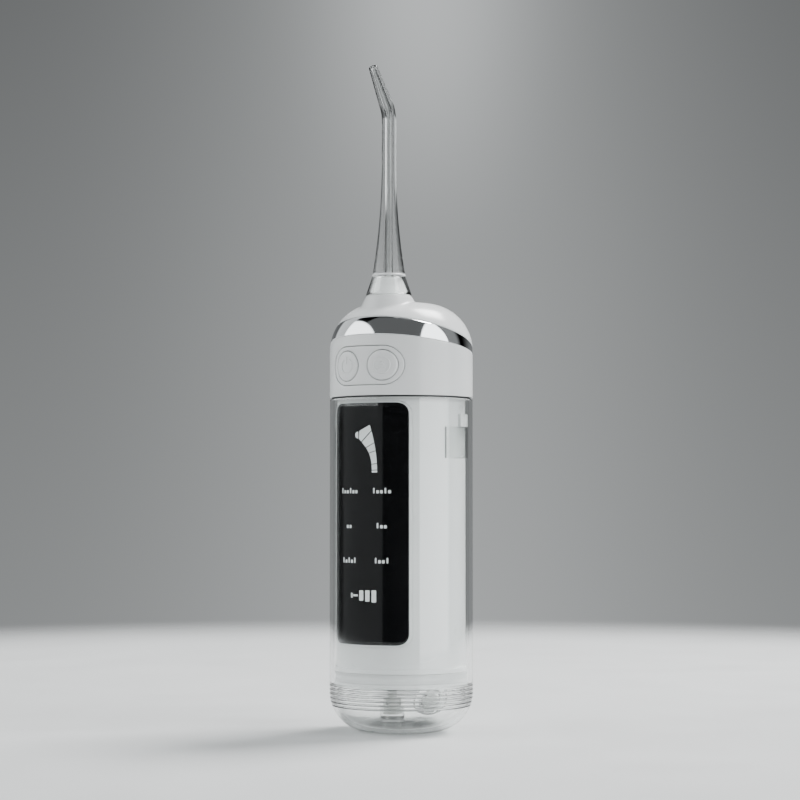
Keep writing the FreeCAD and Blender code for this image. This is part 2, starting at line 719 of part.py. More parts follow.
def involute_gear(teeth, module, bore, thickness, first_angle):
    """A spur gear about its own Z, with a tooth at first_angle and flanks thinned for backlash."""
    pressure = math.radians(25)
    pitch = module * teeth / 2
    base, tip, root = pitch * math.cos(pressure), pitch + 0.8 * module, pitch - 1.1 * module
    backlash = 0.05
    half_tooth = math.pi / (2 * teeth) - backlash / pitch + math.tan(pressure) - pressure
    flank = []
    steps = 5
    for k in range(steps + 1):
        radius = max(base, root) + (tip - max(base, root)) * k / steps
        roll = math.acos(min(base / radius, 1))
        flank.append((radius, half_tooth - (math.tan(roll) - roll)))
    points = []
    for tooth in range(teeth):
        middle = first_angle + tooth * 2 * math.pi / teeth
        side = [(root, half_tooth), *flank]
        polar = [(r, middle - a) for r, a in side] + [(r, middle + a) for r, a in reversed(side)]
        points += [Vector(r * math.cos(a), r * math.sin(a), 0) for r, a in polar]
    outline = Part.Wire(Part.makePolygon([*points, points[0]]))
    solid = Part.Face(outline).extrude(Vector(0, 0, thickness))
    return solid.cut(Part.makeCylinder(bore, thickness + 2, Vector(0, 0, -1)))


def make_gears():
    module = value("gear_module")
    small = involute_gear(int(value("pinion_teeth")), module, value("shaft_radius"), value("pinion_width"), 0)
    keep("pinion", place(feature(small), ("wheel_back - 0.6", "drive_y", "motor_height"), "X"))
    teeth = int(value("wheel_teeth"))
    bore = value("axle_radius + running_fit")
    large = involute_gear(teeth, module, bore, value("wheel_width"), math.pi / teeth)
    keep("drive_gear", place(feature(large), ("wheel_back", "drive_y", wheel_height()), "X"))
    web_back = "(wheel_back - 0.9)"
    pin_place = (f"{web_back} - 2", "drive_y", f"{wheel_height()} + crank_throw")
    pin = cylinder("crank_radius", "2.1", pin_place, "X")
    web = cylinder("3.0", "0.9", (web_back, "drive_y", wheel_height()), "X")
    well = cylinder("axle_radius + 0.15", "0.4", ("wheel_back - 0.4", "drive_y", wheel_height()), "X")
    keep("crank_pin", fuse(pin, cut(web, well)))


def make_pump():
    at = ("pump_x", "drive_y")
    middle = wheel_height()
    free = "(2 * crank_throw + crank_radius + 0.15)"
    side = "(crank_throw + crank_radius + 0.15)"

    def yoke_block(half_x, grow):
        return box(
            (f"pump_x - {half_x}", f"pump_x + {half_x}"),
            (f"drive_y - {side} - {grow}", f"drive_y + {side} + {grow}"),
            (f"{middle} - {free} - {grow}", f"{middle} + {free} + {grow}"),
        )

    rod_low = f"({middle} + {free} + 0.6)"
    rod = cylinder("0.8", f"piston_low - {rod_low}", (*at, rod_low))
    keep("piston_yoke", fuse(cut(yoke_block(0.8, 1.1), yoke_block(2, 0)), rod))
    keep("piston", cylinder("piston_radius", "4", (*at, "piston_low")))
    bore, outside, flange = (f"piston_radius + {more}" for more in ("0.06", "pump_wall", "pump_flange"))
    cylinder_wall = turned(
        [
            (bore, "pump_low"),
            (outside, "pump_low"),
            (outside, "pump_top - 1.2"),
            (flange, "pump_top - 1.2"),
            (flange, "pump_top"),
            (bore, "pump_top"),
        ],
        (*at, "0"),
    )
    keep("pump_cylinder", cylinder_wall)
    head = cylinder(flange, "5.5", (*at, "pump_top"))
    toward_nozzle = Vector(-value("pump_x"), -value("nozzle_forward") - value("drive_y"), 0).normalize()
    toward_guide = Vector(value("suction_x - pump_x"), value("suction_y - drive_y"), 0).normalize()
    centre = Vector(value("pump_x"), value("drive_y"), 0)
    port_height = Vector(0, 0, value("pump_top + port_rise"))
    hose, water_way, hose_start = value("hose_radius"), value("hose_bore"), value("hose_start")
    ports = []
    for way in (toward_nozzle, toward_guide):
        socket = centre + way * (hose_start - 2.5) + port_height
        ports.append(feature(Part.makeCylinder(hose, 2.6, socket, way)))
        ports.append(feature(Part.makeCylinder(water_way, 3, centre + way + port_height, way)))
    chamber = cylinder("1.4", "3", (*at, "pump_top - 0.5"))
    keep("pump_head", cut(head, *ports, chamber))
    for name, way in (("outlet_valve", toward_nozzle), ("inlet_valve", toward_guide)):
        keep(name, feature(Part.makeSphere(1.15, centre + way * (hose_start - 1.3) + port_height)))

    nozzle_foot = Vector(0, -value("nozzle_forward"), 0)
    hose_depth = value("hose_depth")
    start = centre + toward_nozzle * hose_start + port_height
    reach = (nozzle_foot - centre).Length - hose_start - hose_depth
    tube, hollow = (Part.makeCylinder(radius, reach, start, toward_nozzle) for radius in (hose, water_way))
    keep("outlet_hose", feature(tube.cut(hollow)))

    manifold = cylinder("manifold_radius", "13", ("0", "-nozzle_forward", "pump_top + 1.5"))
    socket = cylinder("stem_radius + running_fit", "6", ("0", "-nozzle_forward", "stem_low - 0.3"))
    riser = cylinder("hose_bore", "12", ("0", "-nozzle_forward", "pump_top + port_rise"))
    end = nozzle_foot - toward_nozzle * hose_depth + port_height
    seat = feature(Part.makeCylinder(hose, 2.4, end, -toward_nozzle))
    side_way = feature(Part.makeCylinder(water_way, 2.4, nozzle_foot + port_height, -toward_nozzle))
    keep("outlet_manifold", cut(manifold, socket, riser, seat, side_way))
    keep("inlet_hose", inlet_hose(centre + port_height, (water_way, hose), hose_start))


def inlet_hose(port, radii, hose_start):
    """Up from the suction guide, one bend, then across to the pump head's port."""
    bottom = Vector(value("suction_x"), value("suction_y"), value("floor_top + tank_travel + 3"))
    corner = Vector(bottom.x, bottom.y, port.z)
    bend = value("hose_bend")
    away = (port - corner).normalize()
    end = port - away * hose_start
    rise_end = corner - Vector(0, 0, bend)
    run_start = corner + away * bend
    turn_middle = corner + (away - Vector(0, 0, 1)) * bend * (1 - math.sqrt(0.5))
    path = Part.Wire(
        [
            Part.LineSegment(bottom, rise_end).toShape(),
            Part.Arc(rise_end, turn_middle, run_start).toShape(),
            Part.LineSegment(run_start, end).toShape(),
        ]
    )
    circles = [Part.Wire(Part.makeCircle(radius, bottom, Vector(0, 0, 1))) for radius in radii]
    hollow, tube = (path.makePipeShell([circle], True, True) for circle in circles)
    return feature(tube.cut(hollow))


# ---------------------------------------------------------------- head


def head_outline(wall):
    """Outline of the head's solid, moved in by wall."""
    outer = f"(body_radius - ({wall}))"
    top = f"(dome_start + dome_radius - ({wall}))"
    low = "head_low" if wall == "0" else "head_low - 1"
    return [
        ("0", low),
        (outer, low),
        (outer, "dome_start"),
        ("body_radius - dome_radius", top, f"-(dome_radius - ({wall}))"),
        ("0", top),
    ]


def above(height, tilt):
    """A block that fills everything above a plane which falls towards the back."""
    reach = "(body_radius + 7)"
    block = bind(add("Part::Box"), Length=f"2 * {reach}", Width=f"2 * {reach}", Height="40")
    block.Placement = FreeCAD.Placement(Vector(), Rotation(Vector(1, 0, 0), -value(tilt)))
    formulas = {
        "Placement.Base.x": f"-{reach}",
        "Placement.Base.y": f"-{reach} * cos({tilt})",
        "Placement.Base.z": f"{height} + {reach} * sin({tilt})",
    }
    return bind(block, **formulas)


def pill_bar(grow):
    """The button panel's outline, grown by a margin, as a bar out through the front."""
    radius = f"(pill_radius + ({grow}))"
    straight = "(pill_half - pill_radius)"
    ends = [
        cylinder(radius, "body_radius + 7", (f"{side} * {straight}", "-body_radius - 7", "key_height"), "Y")
        for side in (-1, 1)
    ]
    tall = (f"key_height - {radius}", f"key_height + {radius}")
    middle = box((f"-{straight}", straight), ("-body_radius - 7", "0"), tall)
    return fuse(middle, *ends)


def head_shell():
    return cut(turned(head_outline("0")), turned(head_outline("head_wall")))


def make_head_shells():
    port = box(
        ("-port_width / 2", "port_width / 2"),
        ("10", "30"),
        ("port_height - port_depth / 2", "port_height + port_depth / 2"),
    )
    gap = "part_gap"
    pocket = cut(
        box(
            (f"-flap_width / 2 - {gap}", f"flap_width / 2 + {gap}"),
            ("12", "30"),
            (f"port_height - flap_height / 2 - {gap}", f"port_height + flap_height / 2 + 1.0"),
        ),
        cylinder("body_radius - flap_thick - 0.15", "30", ("0", "0", "100")),
    )
    band = cut(head_shell(), above("trim_low", "trim_low_tilt"), pill_bar("0"), port, pocket)
    keep("head_band", band)
    wedge = cut(above("trim_low", "trim_low_tilt"), above("trim_high", "trim_high_tilt"))
    keep("trim_ring", common(head_shell(), wedge))

    neck_base = "(neck_radius + neck_slope * (neck_top - neck_low))"
    neck = cut(
        cone(neck_base, "neck_radius", "neck_top - neck_low", ("0", "-nozzle_forward", "neck_low")),
        turned(head_outline("head_wall")),
    )
    dome = common(fuse(head_shell(), neck), above("trim_high", "trim_high_tilt"))
    doc.recompute()
    filleted = add("Part::Fillet")
    filleted.Base = dome
    fillet = value("neck_fillet")
    filleted.Edges = [(number, fillet, fillet) for number in neck_edges(dome.Shape)]
    release_window = box(
        ("-release_half - part_gap", "release_half + part_gap"),
        ("12", "30"),
        ("catch_low - part_gap", "catch_low + release_tall + part_gap"),
    )
    post = box(("-2.4", "2.4"), ("spring_front - 1.2", "spring_front"), ("neck_low - 2.8", "neck_low + 4.2"))
    bore = cylinder("neck_bore", "20", ("0", "-nozzle_forward", "neck_low - 3"))
    keep("head_cap", cut(fuse(filleted, post), bore, release_window))


def neck_edges(shape):
    """Numbers of the edges where the neck's cone runs into the outside of the dome."""
    found = []
    for number, edge in enumerate(shape.Edges, 1):
        faces = shape.ancestorsOfType(edge, Part.Face)
        kinds = {face.Surface.__class__.__name__ for face in faces}
        middle = edge.valueAt((edge.FirstParameter + edge.LastParameter) / 2)
        cone_edge = "Cone" in kinds and len(kinds) == 2
        on_neck = value("neck_low") + 2 < middle.z < value("neck_top") - 1
        if cone_edge and kinds & {"Toroid", "Plane"} and on_neck:
            outside = math.hypot(middle.x, middle.y + value("nozzle_forward"))
            if outside > value("neck_radius"):
                found.append(number)
    return found


def make_head_fittings():
    keep("head_seal", shell("body_radius - 0.7", "housing_radius", "seal_low", "head_low"))
    sides = (-1, 1)
    plate_ring = shell("body_radius - 0.05", "body_radius - 1.6", "head_low", "dome_start")
    plate = common(plate_ring, pill_bar("-0.12"))
    keep("button_plate", cut(plate, *[key_bar(side, "key_radius + part_gap") for side in sides]))
    inside = "body_radius - head_wall"
    skin_ring = shell(f"{inside} - 0.05", f"{inside} - 0.8", "head_low + 0.2", "dome_start")
    skin = common(skin_ring, pill_bar("0.9"))
    keep("button_membrane", cut(skin, *[key_bar(side, "2.0") for side in sides]))
    for name, side in zip(("power", "mode"), sides):
        cap_ring = shell("body_radius + 0.15", f"{inside} + 0.75", "head_low - 2", "dome_start + 2")
        cap = common(cap_ring, key_bar(side, "key_radius"))
        plunger_end = "board_y - 2.1 - key_travel"
        plunger = cylinder("1.6", "5", (f"{side} * key_x", f"{plunger_end} - 5", "key_height"), "Y")
        trimmed = common(plunger, cylinder("body_radius - 0.6", "30", ("0", "0", "head_low")))
        keep(f"{name}_button", fuse(cap, trimmed))
    bearing = cut(
        cylinder("neck_bore", "neck_top - neck_low - 0.8", ("0", "-nozzle_forward", "neck_low + 0.4")),
        cylinder("swivel_radius + running_fit", "10", ("0", "-nozzle_forward", "neck_low")),
    )
    keep("nozzle_bearing", bearing)


def key_bar(side, radius):
    return cylinder(radius, "body_radius + 7", (f"{side} * key_x", "-body_radius - 7", "key_height"), "Y")


def make_release():
    dome = turned(head_outline("-0.35"))
    wide, flange_back = ("-release_half", "release_half"), "(flange_front + 2.3)"
    block = box(wide, (flange_back, "body_radius + 3"), ("catch_low", "catch_low + release_tall"))
    flange = box(wide, ("flange_front", flange_back), ("catch_low", "catch_low + 3"))
    keep("release_button", fuse(common(dome, block), flange))
    plate = box(
        ("-release_half + 1.2", "release_half - 1.2"),
        ("-nozzle_forward - 4.6", "flange_front"),
        ("catch_low", "catch_low + catch_thick"),
    )
    slot = box(
        ("-(stem_radius + 0.25)", "stem_radius + 0.25"),
        ("-nozzle_forward", "-nozzle_forward + catch_travel"),
        ("catch_low - 1", "catch_low + 4"),
    )
    ends = [
        cylinder("stem_radius + 0.25", "5", ("0", f"-nozzle_forward + {shift}", "catch_low - 1"))
        for shift in ("0", "catch_travel")
    ]
    keep("nozzle_catch", cut(plate, slot, *ends))
    pitch, radius, wire = 1.3, 1.35, 0.2
    start = Vector(0, value("spring_front") + wire, value("catch_low") + 3.5)
    length = value("flange_front - spring_front") - 2 * wire
    helix = Part.makeHelix(pitch, length, radius)
    profile = Part.Wire(Part.makeCircle(wire, Vector(radius, 0, 0), Vector(0, 1, 0)))
    coil = Part.Wire(helix).makePipeShell([profile], True, True)
    coil.Placement = FreeCAD.Placement(start, AXES["Y"])
    keep("release_spring", feature(coil))


# ---------------------------------------------------------------- swivel and nozzle


def make_nozzle():
    at = ("0", "-nozzle_forward", "0")
    bore = "(stem_radius + running_fit)"
    stub_low, stub_high = "(neck_top + 0.15)", "(ring_height - 1.1)"
    keep(
        "swivel_seat",
        turned(
            [
                (bore, "neck_low - 2"),
                ("neck_bore - 0.1", "neck_low - 2"),
                ("neck_bore - 0.1", "neck_low"),
                ("swivel_radius", "neck_low"),
                ("swivel_radius", stub_low),
                ("neck_radius - 0.65", stub_low),
                ("ring_radius - 0.9", stub_high),
                (bore, stub_high),
            ],
            at,
        ),
    )
    narrowing, rise = "(ring_radius - tube_radius)", "(tube_start - ring_height)"
    flare = f"(({narrowing}^2 + {rise}^2) / (2 * {narrowing}))"
    seal_low, catch_groove = "(stem_low + 0.8)", "(catch_low - 0.2)"
    straight = turned(
        [
            ("bore_radius", "stem_low"),
            ("stem_radius", "stem_low"),
            ("stem_radius", seal_low),
            ("stem_radius - groove_depth", seal_low),
            ("stem_radius - groove_depth", f"{seal_low} + seal_width"),
            ("stem_radius", f"{seal_low} + seal_width"),
            ("stem_radius", catch_groove),
            ("stem_radius - groove_depth", catch_groove),
            ("stem_radius - groove_depth", f"{catch_groove} + catch_thick + 0.4"),
            ("stem_radius", f"{catch_groove} + catch_thick + 0.4"),
            ("stem_radius", "ring_height - 0.8"),
            ("ring_radius - 0.8", "ring_height - 0.8"),
            ("neck_radius - 0.55", "neck_top + skirt_gap"),
            ("neck_radius - 0.05", "neck_top + skirt_gap"),
            ("ring_radius + 0.1", "ring_height - ring_width / 2"),
            ("ring_radius - groove_depth", "ring_height - ring_width / 2"),
            ("ring_radius - groove_depth", "ring_height + ring_width / 2"),
            ("ring_radius", "ring_height + ring_width / 2"),
            ("tube_radius", "tube_start", flare),
            ("tube_radius", "bend_start"),
            ("bore_radius", "bend_start"),
        ],
        at,
    )
    tip = turned(
        [
            ("bore_radius", "0"),
            ("tube_radius", "0"),
            ("tip_radius", "tip_length"),
            ("jet_radius + 0.25", "tip_length"),
            ("jet_radius", "tip_length - 0.9"),
        ]
    )
    tip.Placement = FreeCAD.Placement(Vector(), Rotation(Vector(1, 0, 0), value("bend_angle")))
    out = "bend_radius * (1 - cos(bend_angle))"
    ends = {
        "Placement.Base.y": f"-nozzle_forward - {out}",
        "Placement.Base.z": "bend_start + bend_radius * sin(bend_angle)",
    }
    keep("nozzle_tube", fuse(straight, elbow(), bind(tip, **ends)))
    keep(
        "nozzle_ring",
        turned(
            [
                ("ring_radius - groove_depth", "ring_height - ring_width / 2"),
                ("ring_radius + 0.1", "ring_height - ring_width / 2"),
                ("ring_radius + 0.03", "ring_height + ring_width / 2"),
                ("ring_radius - groove_depth", "ring_height + ring_width / 2"),
            ],
            at,
        ),
    )
    keep(
        "nozzle_seal",
        turned(
            [
                ("stem_radius - groove_depth", seal_low),
                ("stem_radius + 0.03", seal_low),
                ("stem_radius + 0.03", f"{seal_low} + seal_width"),
                ("stem_radius - groove_depth", f"{seal_low} + seal_width"),
            ],
            at,
        ),
    )


def elbow():
    """The nozzle's bend: a ring swept about the X axis through the bend's centre."""
    body = add("PartDesign::Body")
    sketch = sketch_on(body, "XY_Plane")
    for number, radius in enumerate(("tube_radius", "bore_radius")):
        reach = value("bend_radius")
        sketch.addGeometry(Part.Circle(Vector(0, reach, 0), Vector(0, 0, 1), value(radius)), False)
        sketch.addConstraint(Sketcher.Constraint("PointOnObject", number, 3, -2))
        distance = sketch.addConstraint(Sketcher.Constraint("DistanceY", -1, 1, number, 3, reach))
        size = sketch.addConstraint(Sketcher.Constraint("Radius", number, value(radius)))
        sketch.setExpression(f"Constraints[{distance}]", cells("bend_radius"))
        sketch.setExpression(f"Constraints[{size}]", cells(radius))
    turn = body.newObject("PartDesign::Revolution", "Revolution")
    turn.Profile = sketch
    turn.ReferenceAxis = (sketch, ["H_Axis"])
    bind(turn, Angle="bend_angle")
    sketch.Visibility = False
    return place(body, ("0", "-nozzle_forward - bend_radius", "bend_start"))


# ---------------------------------------------------------------- build


def build():
    fill_sheet()
    make_tank()
    make_fill_plug()
    make_tank_fittings()
    make_housing()
    make_suction_guide()
    make_display()
    make_battery()
    make_charging_port()
    make_chassis()
    make_motor()
    make_gears()
    make_pump()
    make_head_shells()
    make_head_fittings()
    make_release()
    make_nozzle()
    doc.recompute()


def check():
    faults = [f"{o.Label} is {o.State}" for o in doc.Objects if {"Invalid", "Error"} & set(o.State)]
    for piece in kept:
        shape = piece.Shape
        if shape.isNull() or not shape.isValid() or not shape.Solids:
            faults.append(f"{piece.Label} has no valid solid")
    if faults:
        raise SystemExit("\n".join(faults))


def write():
    os.makedirs("parts", exist_ok=True)
    for old in os.listdir("parts"):
        os.remove(os.path.join("parts", old))
    for piece in kept:
        piece.Shape.exportStep(os.path.join("parts", piece.Label + ".step"))
        print(f"{piece.Label}: {len(piece.Shape.Solids)} solid(s), {piece.Shape.Volume:.1f} mm3")


build()
check()
write()
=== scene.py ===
"""Water flosser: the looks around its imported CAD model. Sizes are in millimetres until a mesh is made."""

import math

import bmesh
import bpy
import numpy as np
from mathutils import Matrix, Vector

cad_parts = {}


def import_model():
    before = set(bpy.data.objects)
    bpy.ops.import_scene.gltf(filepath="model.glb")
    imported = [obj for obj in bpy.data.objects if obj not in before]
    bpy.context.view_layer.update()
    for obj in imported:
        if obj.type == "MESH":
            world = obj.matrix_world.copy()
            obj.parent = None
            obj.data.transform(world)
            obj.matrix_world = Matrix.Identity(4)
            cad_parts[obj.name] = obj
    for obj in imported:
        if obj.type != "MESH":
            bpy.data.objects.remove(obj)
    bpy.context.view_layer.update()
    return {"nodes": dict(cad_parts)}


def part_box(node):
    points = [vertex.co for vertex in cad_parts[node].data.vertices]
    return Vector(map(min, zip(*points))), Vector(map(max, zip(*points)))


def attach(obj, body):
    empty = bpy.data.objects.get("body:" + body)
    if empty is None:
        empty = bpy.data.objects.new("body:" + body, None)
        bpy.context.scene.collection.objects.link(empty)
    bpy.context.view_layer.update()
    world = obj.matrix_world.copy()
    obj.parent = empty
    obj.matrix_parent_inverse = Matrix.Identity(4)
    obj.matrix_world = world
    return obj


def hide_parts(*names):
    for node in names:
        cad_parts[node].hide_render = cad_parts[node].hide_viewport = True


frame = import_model()

MM = 0.001
TAU = 2 * math.pi


def span(node):
    """Lowest and highest corner of a CAD node, in millimetres."""
    low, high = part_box(node)
    return np.array(low) / MM, np.array(high) / MM


# ---------- sizes taken from the frame

TANK_TOP = span("tank_sleeve")[1][2]
HOUSING_LOW, HOUSING_HIGH = (corner[2] for corner in span("inner_housing"))
HEAD_LOW = span("head_band")[0][2]
WINDOW_LOW, WINDOW_HIGH = (corner[2] for corner in span("display_window"))
KEY_BACK = span("mode_button")[1][1]
PIPE_LOW, PIPE_HIGH = span("suction_pipe")
BUSH_LOW, BUSH_HIGH = span("guide_bush")

# ---------- sizes that the boxes do not give

COLUMNS = 192  # facets round the body
BACK = COLUMNS // 2  # the column at the back
BODY = 23.0  # outside radius of tank and head
TANK_WALL, TANK_CORNER = 1.5, 12.7
HOUSING, HOUSING_WALL = 20.6, 1.5  # outside radius and wall of the inner housing
WALL = 2.2  # of the head shells
DOME_START, DOME = 121.9, 15.0  # the rounding of the head
# each plane that bounds the trim: its height on the axis, and its slope
TRIM_LOW, TRIM_LOW_SLOPE = 122.3, math.tan(math.radians(9.1))
TRIM_HIGH, TRIM_HIGH_SLOPE = 126.15, math.tan(math.radians(16.0))
NOZZLE_AHEAD = 7.5  # of the nozzle's axis before the body's
NECK_TOP, NECK, NECK_SLOPE = 138.8, 7.4, 0.45
BORE = 6.0  # of the neck
PILL_X, PILL_Z = 13.1, 6.25  # half sizes of the opening for the keys
KEY_HEIGHT, KEY_X, KEY = 116.0, 6.5, 4.7
KEY_FACE = BODY + 0.15
PORT_HEIGHT = 113.2
CATCH_LOW = 126.5
RELEASE_HALF, RELEASE_TALL = 5.0, 5.0
WINDOW_FACE, WINDOW_X, WINDOW_CORNER = 21.15, 13.1, 3.2
WINDOW_Z = (WINDOW_LOW + WINDOW_HIGH) / 2
WINDOW_TALL = (WINDOW_HIGH - WINDOW_LOW) / 2
BEZEL = 0.55
LUG_LOW, LUG_HIGH, LUG_REACH = 97.1, 101.0, BODY - TANK_WALL - 0.08
RIB_LOW, RIB_PITCH, RIB_COUNT, RIB_RADIUS, RIB_DEPTH = 8.7, 1.3, 6, 0.42, 0.28
FILL_TILT, FILL_LID, FILL_RADIUS = 30.0, 4.4, 3.5
SUCTION = ((PIPE_LOW[0] + PIPE_HIGH[0]) / 2, (PIPE_LOW[1] + PIPE_HIGH[1]) / 2)
STEM_LOW, STEM = 123.8, 2.3
RING_HEIGHT, RING = 145.6, 5.2
TUBE_START, TUBE = 182.0, 2.3
BEND_START, BEND_RADIUS, BEND_ANGLE = 195.6, 8.0, 36.0
TIP_LENGTH, TIP, JET, BORE_NOZZLE = 13.7, 1.4, 0.5, 0.9
MARK_RISE = 0.03  # of the marks over the window
GAUGE_LOW = 82.2
SIGN_HEIGHTS = (76.7, 65.8, 54.9)
BATTERY_HEIGHT = 44.0
KEY_SIGN_RISE = 0.16
CAMERA_TURN, CAMERA_YAW, CAMERA_PITCH = 32.0, 0.035, 2.55
CAMERA_AWAY, CAMERA_HEIGHT = 680.0, 75.7


# ---------- materials


class Shader:
    """A material's node tree, with short calls to add and join nodes."""

    def __init__(self, name):
        self.material = bpy.data.materials.new(name)
        self.material.use_nodes = True
        self.tree = self.material.node_tree
        self.bsdf = self.tree.nodes["Principled BSDF"]
        self.out = self.tree.nodes["Material Output"]
        self.where = self.node("ShaderNodeTexCoord").outputs["Object"]

    def node(self, kind, **values):
        made = self.tree.nodes.new(kind)
        for key, val in values.items():
            if hasattr(made, key):
                setattr(made, key, val)
            else:
                made.inputs[key.replace("_", " ")].default_value = val
        return made

    def join(self, start, end):
        self.tree.links.new(start, end)

    def constants(self, **values):
        for key, val in values.items():
            self.bsdf.inputs[key.replace("_", " ")].default_value = val

    def noise(self, scale, detail=3.0, stretch=(1, 1, 1)):
        """A noise pattern; scale is in cycles a metre."""
        mapping = self.node("ShaderNodeMapping")
        mapping.inputs["Scale"].default_value = stretch
        self.join(self.where, mapping.inputs["Vector"])
        noise = self.node("ShaderNodeTexNoise", Scale=scale, Detail=detail)
        self.join(mapping.outputs["Vector"], noise.inputs["Vector"])
        return noise.outputs["Fac"]

    def spread(self, factor, low, high):
        """Maps a pattern to the range low..high."""
        mapping = self.node("ShaderNodeMapRange")
        mapping.inputs["From Min"].default_value = 0.3
        mapping.inputs["From Max"].default_value = 0.7
        mapping.inputs["To Min"].default_value = low
        mapping.inputs["To Max"].default_value = high
        self.join(factor, mapping.inputs["Value"])
        return mapping.outputs["Result"]

    def tint(self, factor, dark, light):
        mix = self.node("ShaderNodeMix", data_type="RGBA")
        mix.inputs["A"].default_value = (*dark, 1)
        mix.inputs["B"].default_value = (*light, 1)
        self.join(factor, mix.inputs["Factor"])
        self.join(mix.outputs["Result"], self.bsdf.inputs["Base Color"])

    def polish(self, scale, low, high):
        """Lets the roughness vary with a noise pattern."""
        self.join(self.spread(self.noise(scale), low, high), self.bsdf.inputs["Roughness"])

    def blend(self, factor, second):
        """Puts a mix of the Principled shader and a second one on the output."""
        mix = self.node("ShaderNodeMixShader")
        for start, end in zip((factor, self.bsdf.outputs["BSDF"], second.outputs["BSDF"]), mix.inputs):
            self.join(start, end)
        self.join(mix.outputs["Shader"], self.out.inputs["Surface"])

    def bump(self, factor, distance, strength):
        bump = self.node("ShaderNodeBump", Distance=distance, Strength=strength)
        self.join(factor, bump.inputs["Height"])
        self.join(bump.outputs["Normal"], self.bsdf.inputs["Normal"])


PLASTIC_IOR = 1.49
SHADOW_TONE = 0.93  # share of the light that one clear wall lets through


def plastic(name, dark, light, rough):
    """Moulded plastic: a faint cloudiness, a varying polish and a fine surface grain."""
    shader = Shader(name)
    shader.constants(Specular_IOR_Level=0.5, IOR=PLASTIC_IOR)
    shader.tint(shader.noise(60), dark, light)
    shader.polish(140, rough - 0.03, rough + 0.03)
    shader.bump(shader.noise(2600, 2.0), 0.00002, 0.35)
    return shader.material


def metal(name, dark, light, rough, brush=None):
    shader = Shader(name)
    shader.constants(Metallic=1.0)
    shader.tint(shader.noise(90), dark, light)
    shader.polish(220, rough * 0.8, rough * 1.2)
    if brush:
        shader.bump(shader.noise(400, 2.0, brush), 0.00001, 0.3)
    return shader.material


def clear(name, tone):
    """Clear moulded plastic, which lets the lamps through to what is inside."""
    shader = Shader(name)
    shader.constants(Transmission_Weight=1.0, IOR=PLASTIC_IOR)
    shader.tint(shader.noise(35), tuple(0.985 * c for c in tone), tone)
    shader.polish(120, 0.0, 0.015)
    path = shader.node("ShaderNodeLightPath")
    through = shader.node("ShaderNodeBsdfTransparent")
    through.inputs["Color"].default_value = (*[SHADOW_TONE * c for c in tone], 1)
    shader.blend(path.outputs["Is Shadow Ray"], through)
    return shader.material


WHITE = (0.80, 0.81, 0.81)
MATERIALS = {
    "white_gloss": plastic("white_gloss", (0.76, 0.77, 0.77), WHITE, 0.22),
    "housing_white": plastic("housing_white", (0.74, 0.75, 0.75), (0.79, 0.80, 0.80), 0.30),
    "clear_shell": clear("clear_shell", (0.985, 0.995, 0.99)),
    "clear_nozzle": clear("clear_nozzle", (0.98, 0.99, 0.985)),
    "light_guide": plastic("light_guide", (0.60, 0.61, 0.61), (0.66, 0.67, 0.67), 0.35),
    "black_window": plastic("black_window", (0.004, 0.004, 0.0045), (0.006, 0.006, 0.0065), 0.07),
    "bright_trim": metal("bright_trim", (0.80, 0.81, 0.82), (0.84, 0.85, 0.86), 0.06),
    "slick_plastic": plastic("slick_plastic", (0.70, 0.70, 0.68), (0.76, 0.76, 0.74), 0.35),
    "silicone": plastic("silicone", (0.66, 0.67, 0.67), (0.72, 0.73, 0.73), 0.45),
    "black_rubber": plastic("black_rubber", (0.012, 0.012, 0.012), (0.02, 0.02, 0.02), 0.5),
    "hose": plastic("hose", (0.55, 0.56, 0.55), (0.62, 0.63, 0.62), 0.4),
    "board": plastic("board", (0.005, 0.09, 0.03), (0.01, 0.14, 0.05), 0.35),
    "led": plastic("led", (0.75, 0.75, 0.68), (0.85, 0.85, 0.78), 0.25),
    "switch": plastic("switch", (0.015, 0.015, 0.016), (0.03, 0.03, 0.032), 0.4),
    "cell": plastic("cell", (0.02, 0.08, 0.22), (0.03, 0.10, 0.27), 0.3),
    "steel": metal("steel", (0.50, 0.50, 0.51), (0.60, 0.60, 0.61), 0.28, (1, 8, 1)),
    "mark_white": plastic("mark_white", (0.86, 0.88, 0.88), (0.90, 0.92, 0.92), 0.3),
    "brass": metal("brass", (0.60, 0.42, 0.16), (0.70, 0.50, 0.20), 0.25),
}


def dress_cad():
    """Gives every CAD node the material of its slot."""
    for obj in frame["nodes"].values():
        for place in obj.material_slots:
            place.material = MATERIALS[place.material.name.split(".")[0]]


# ---------- meshes


def add_object(name, data):
    made = bpy.data.objects.new(name, data)
    bpy.context.scene.collection.objects.link(made)
    return made


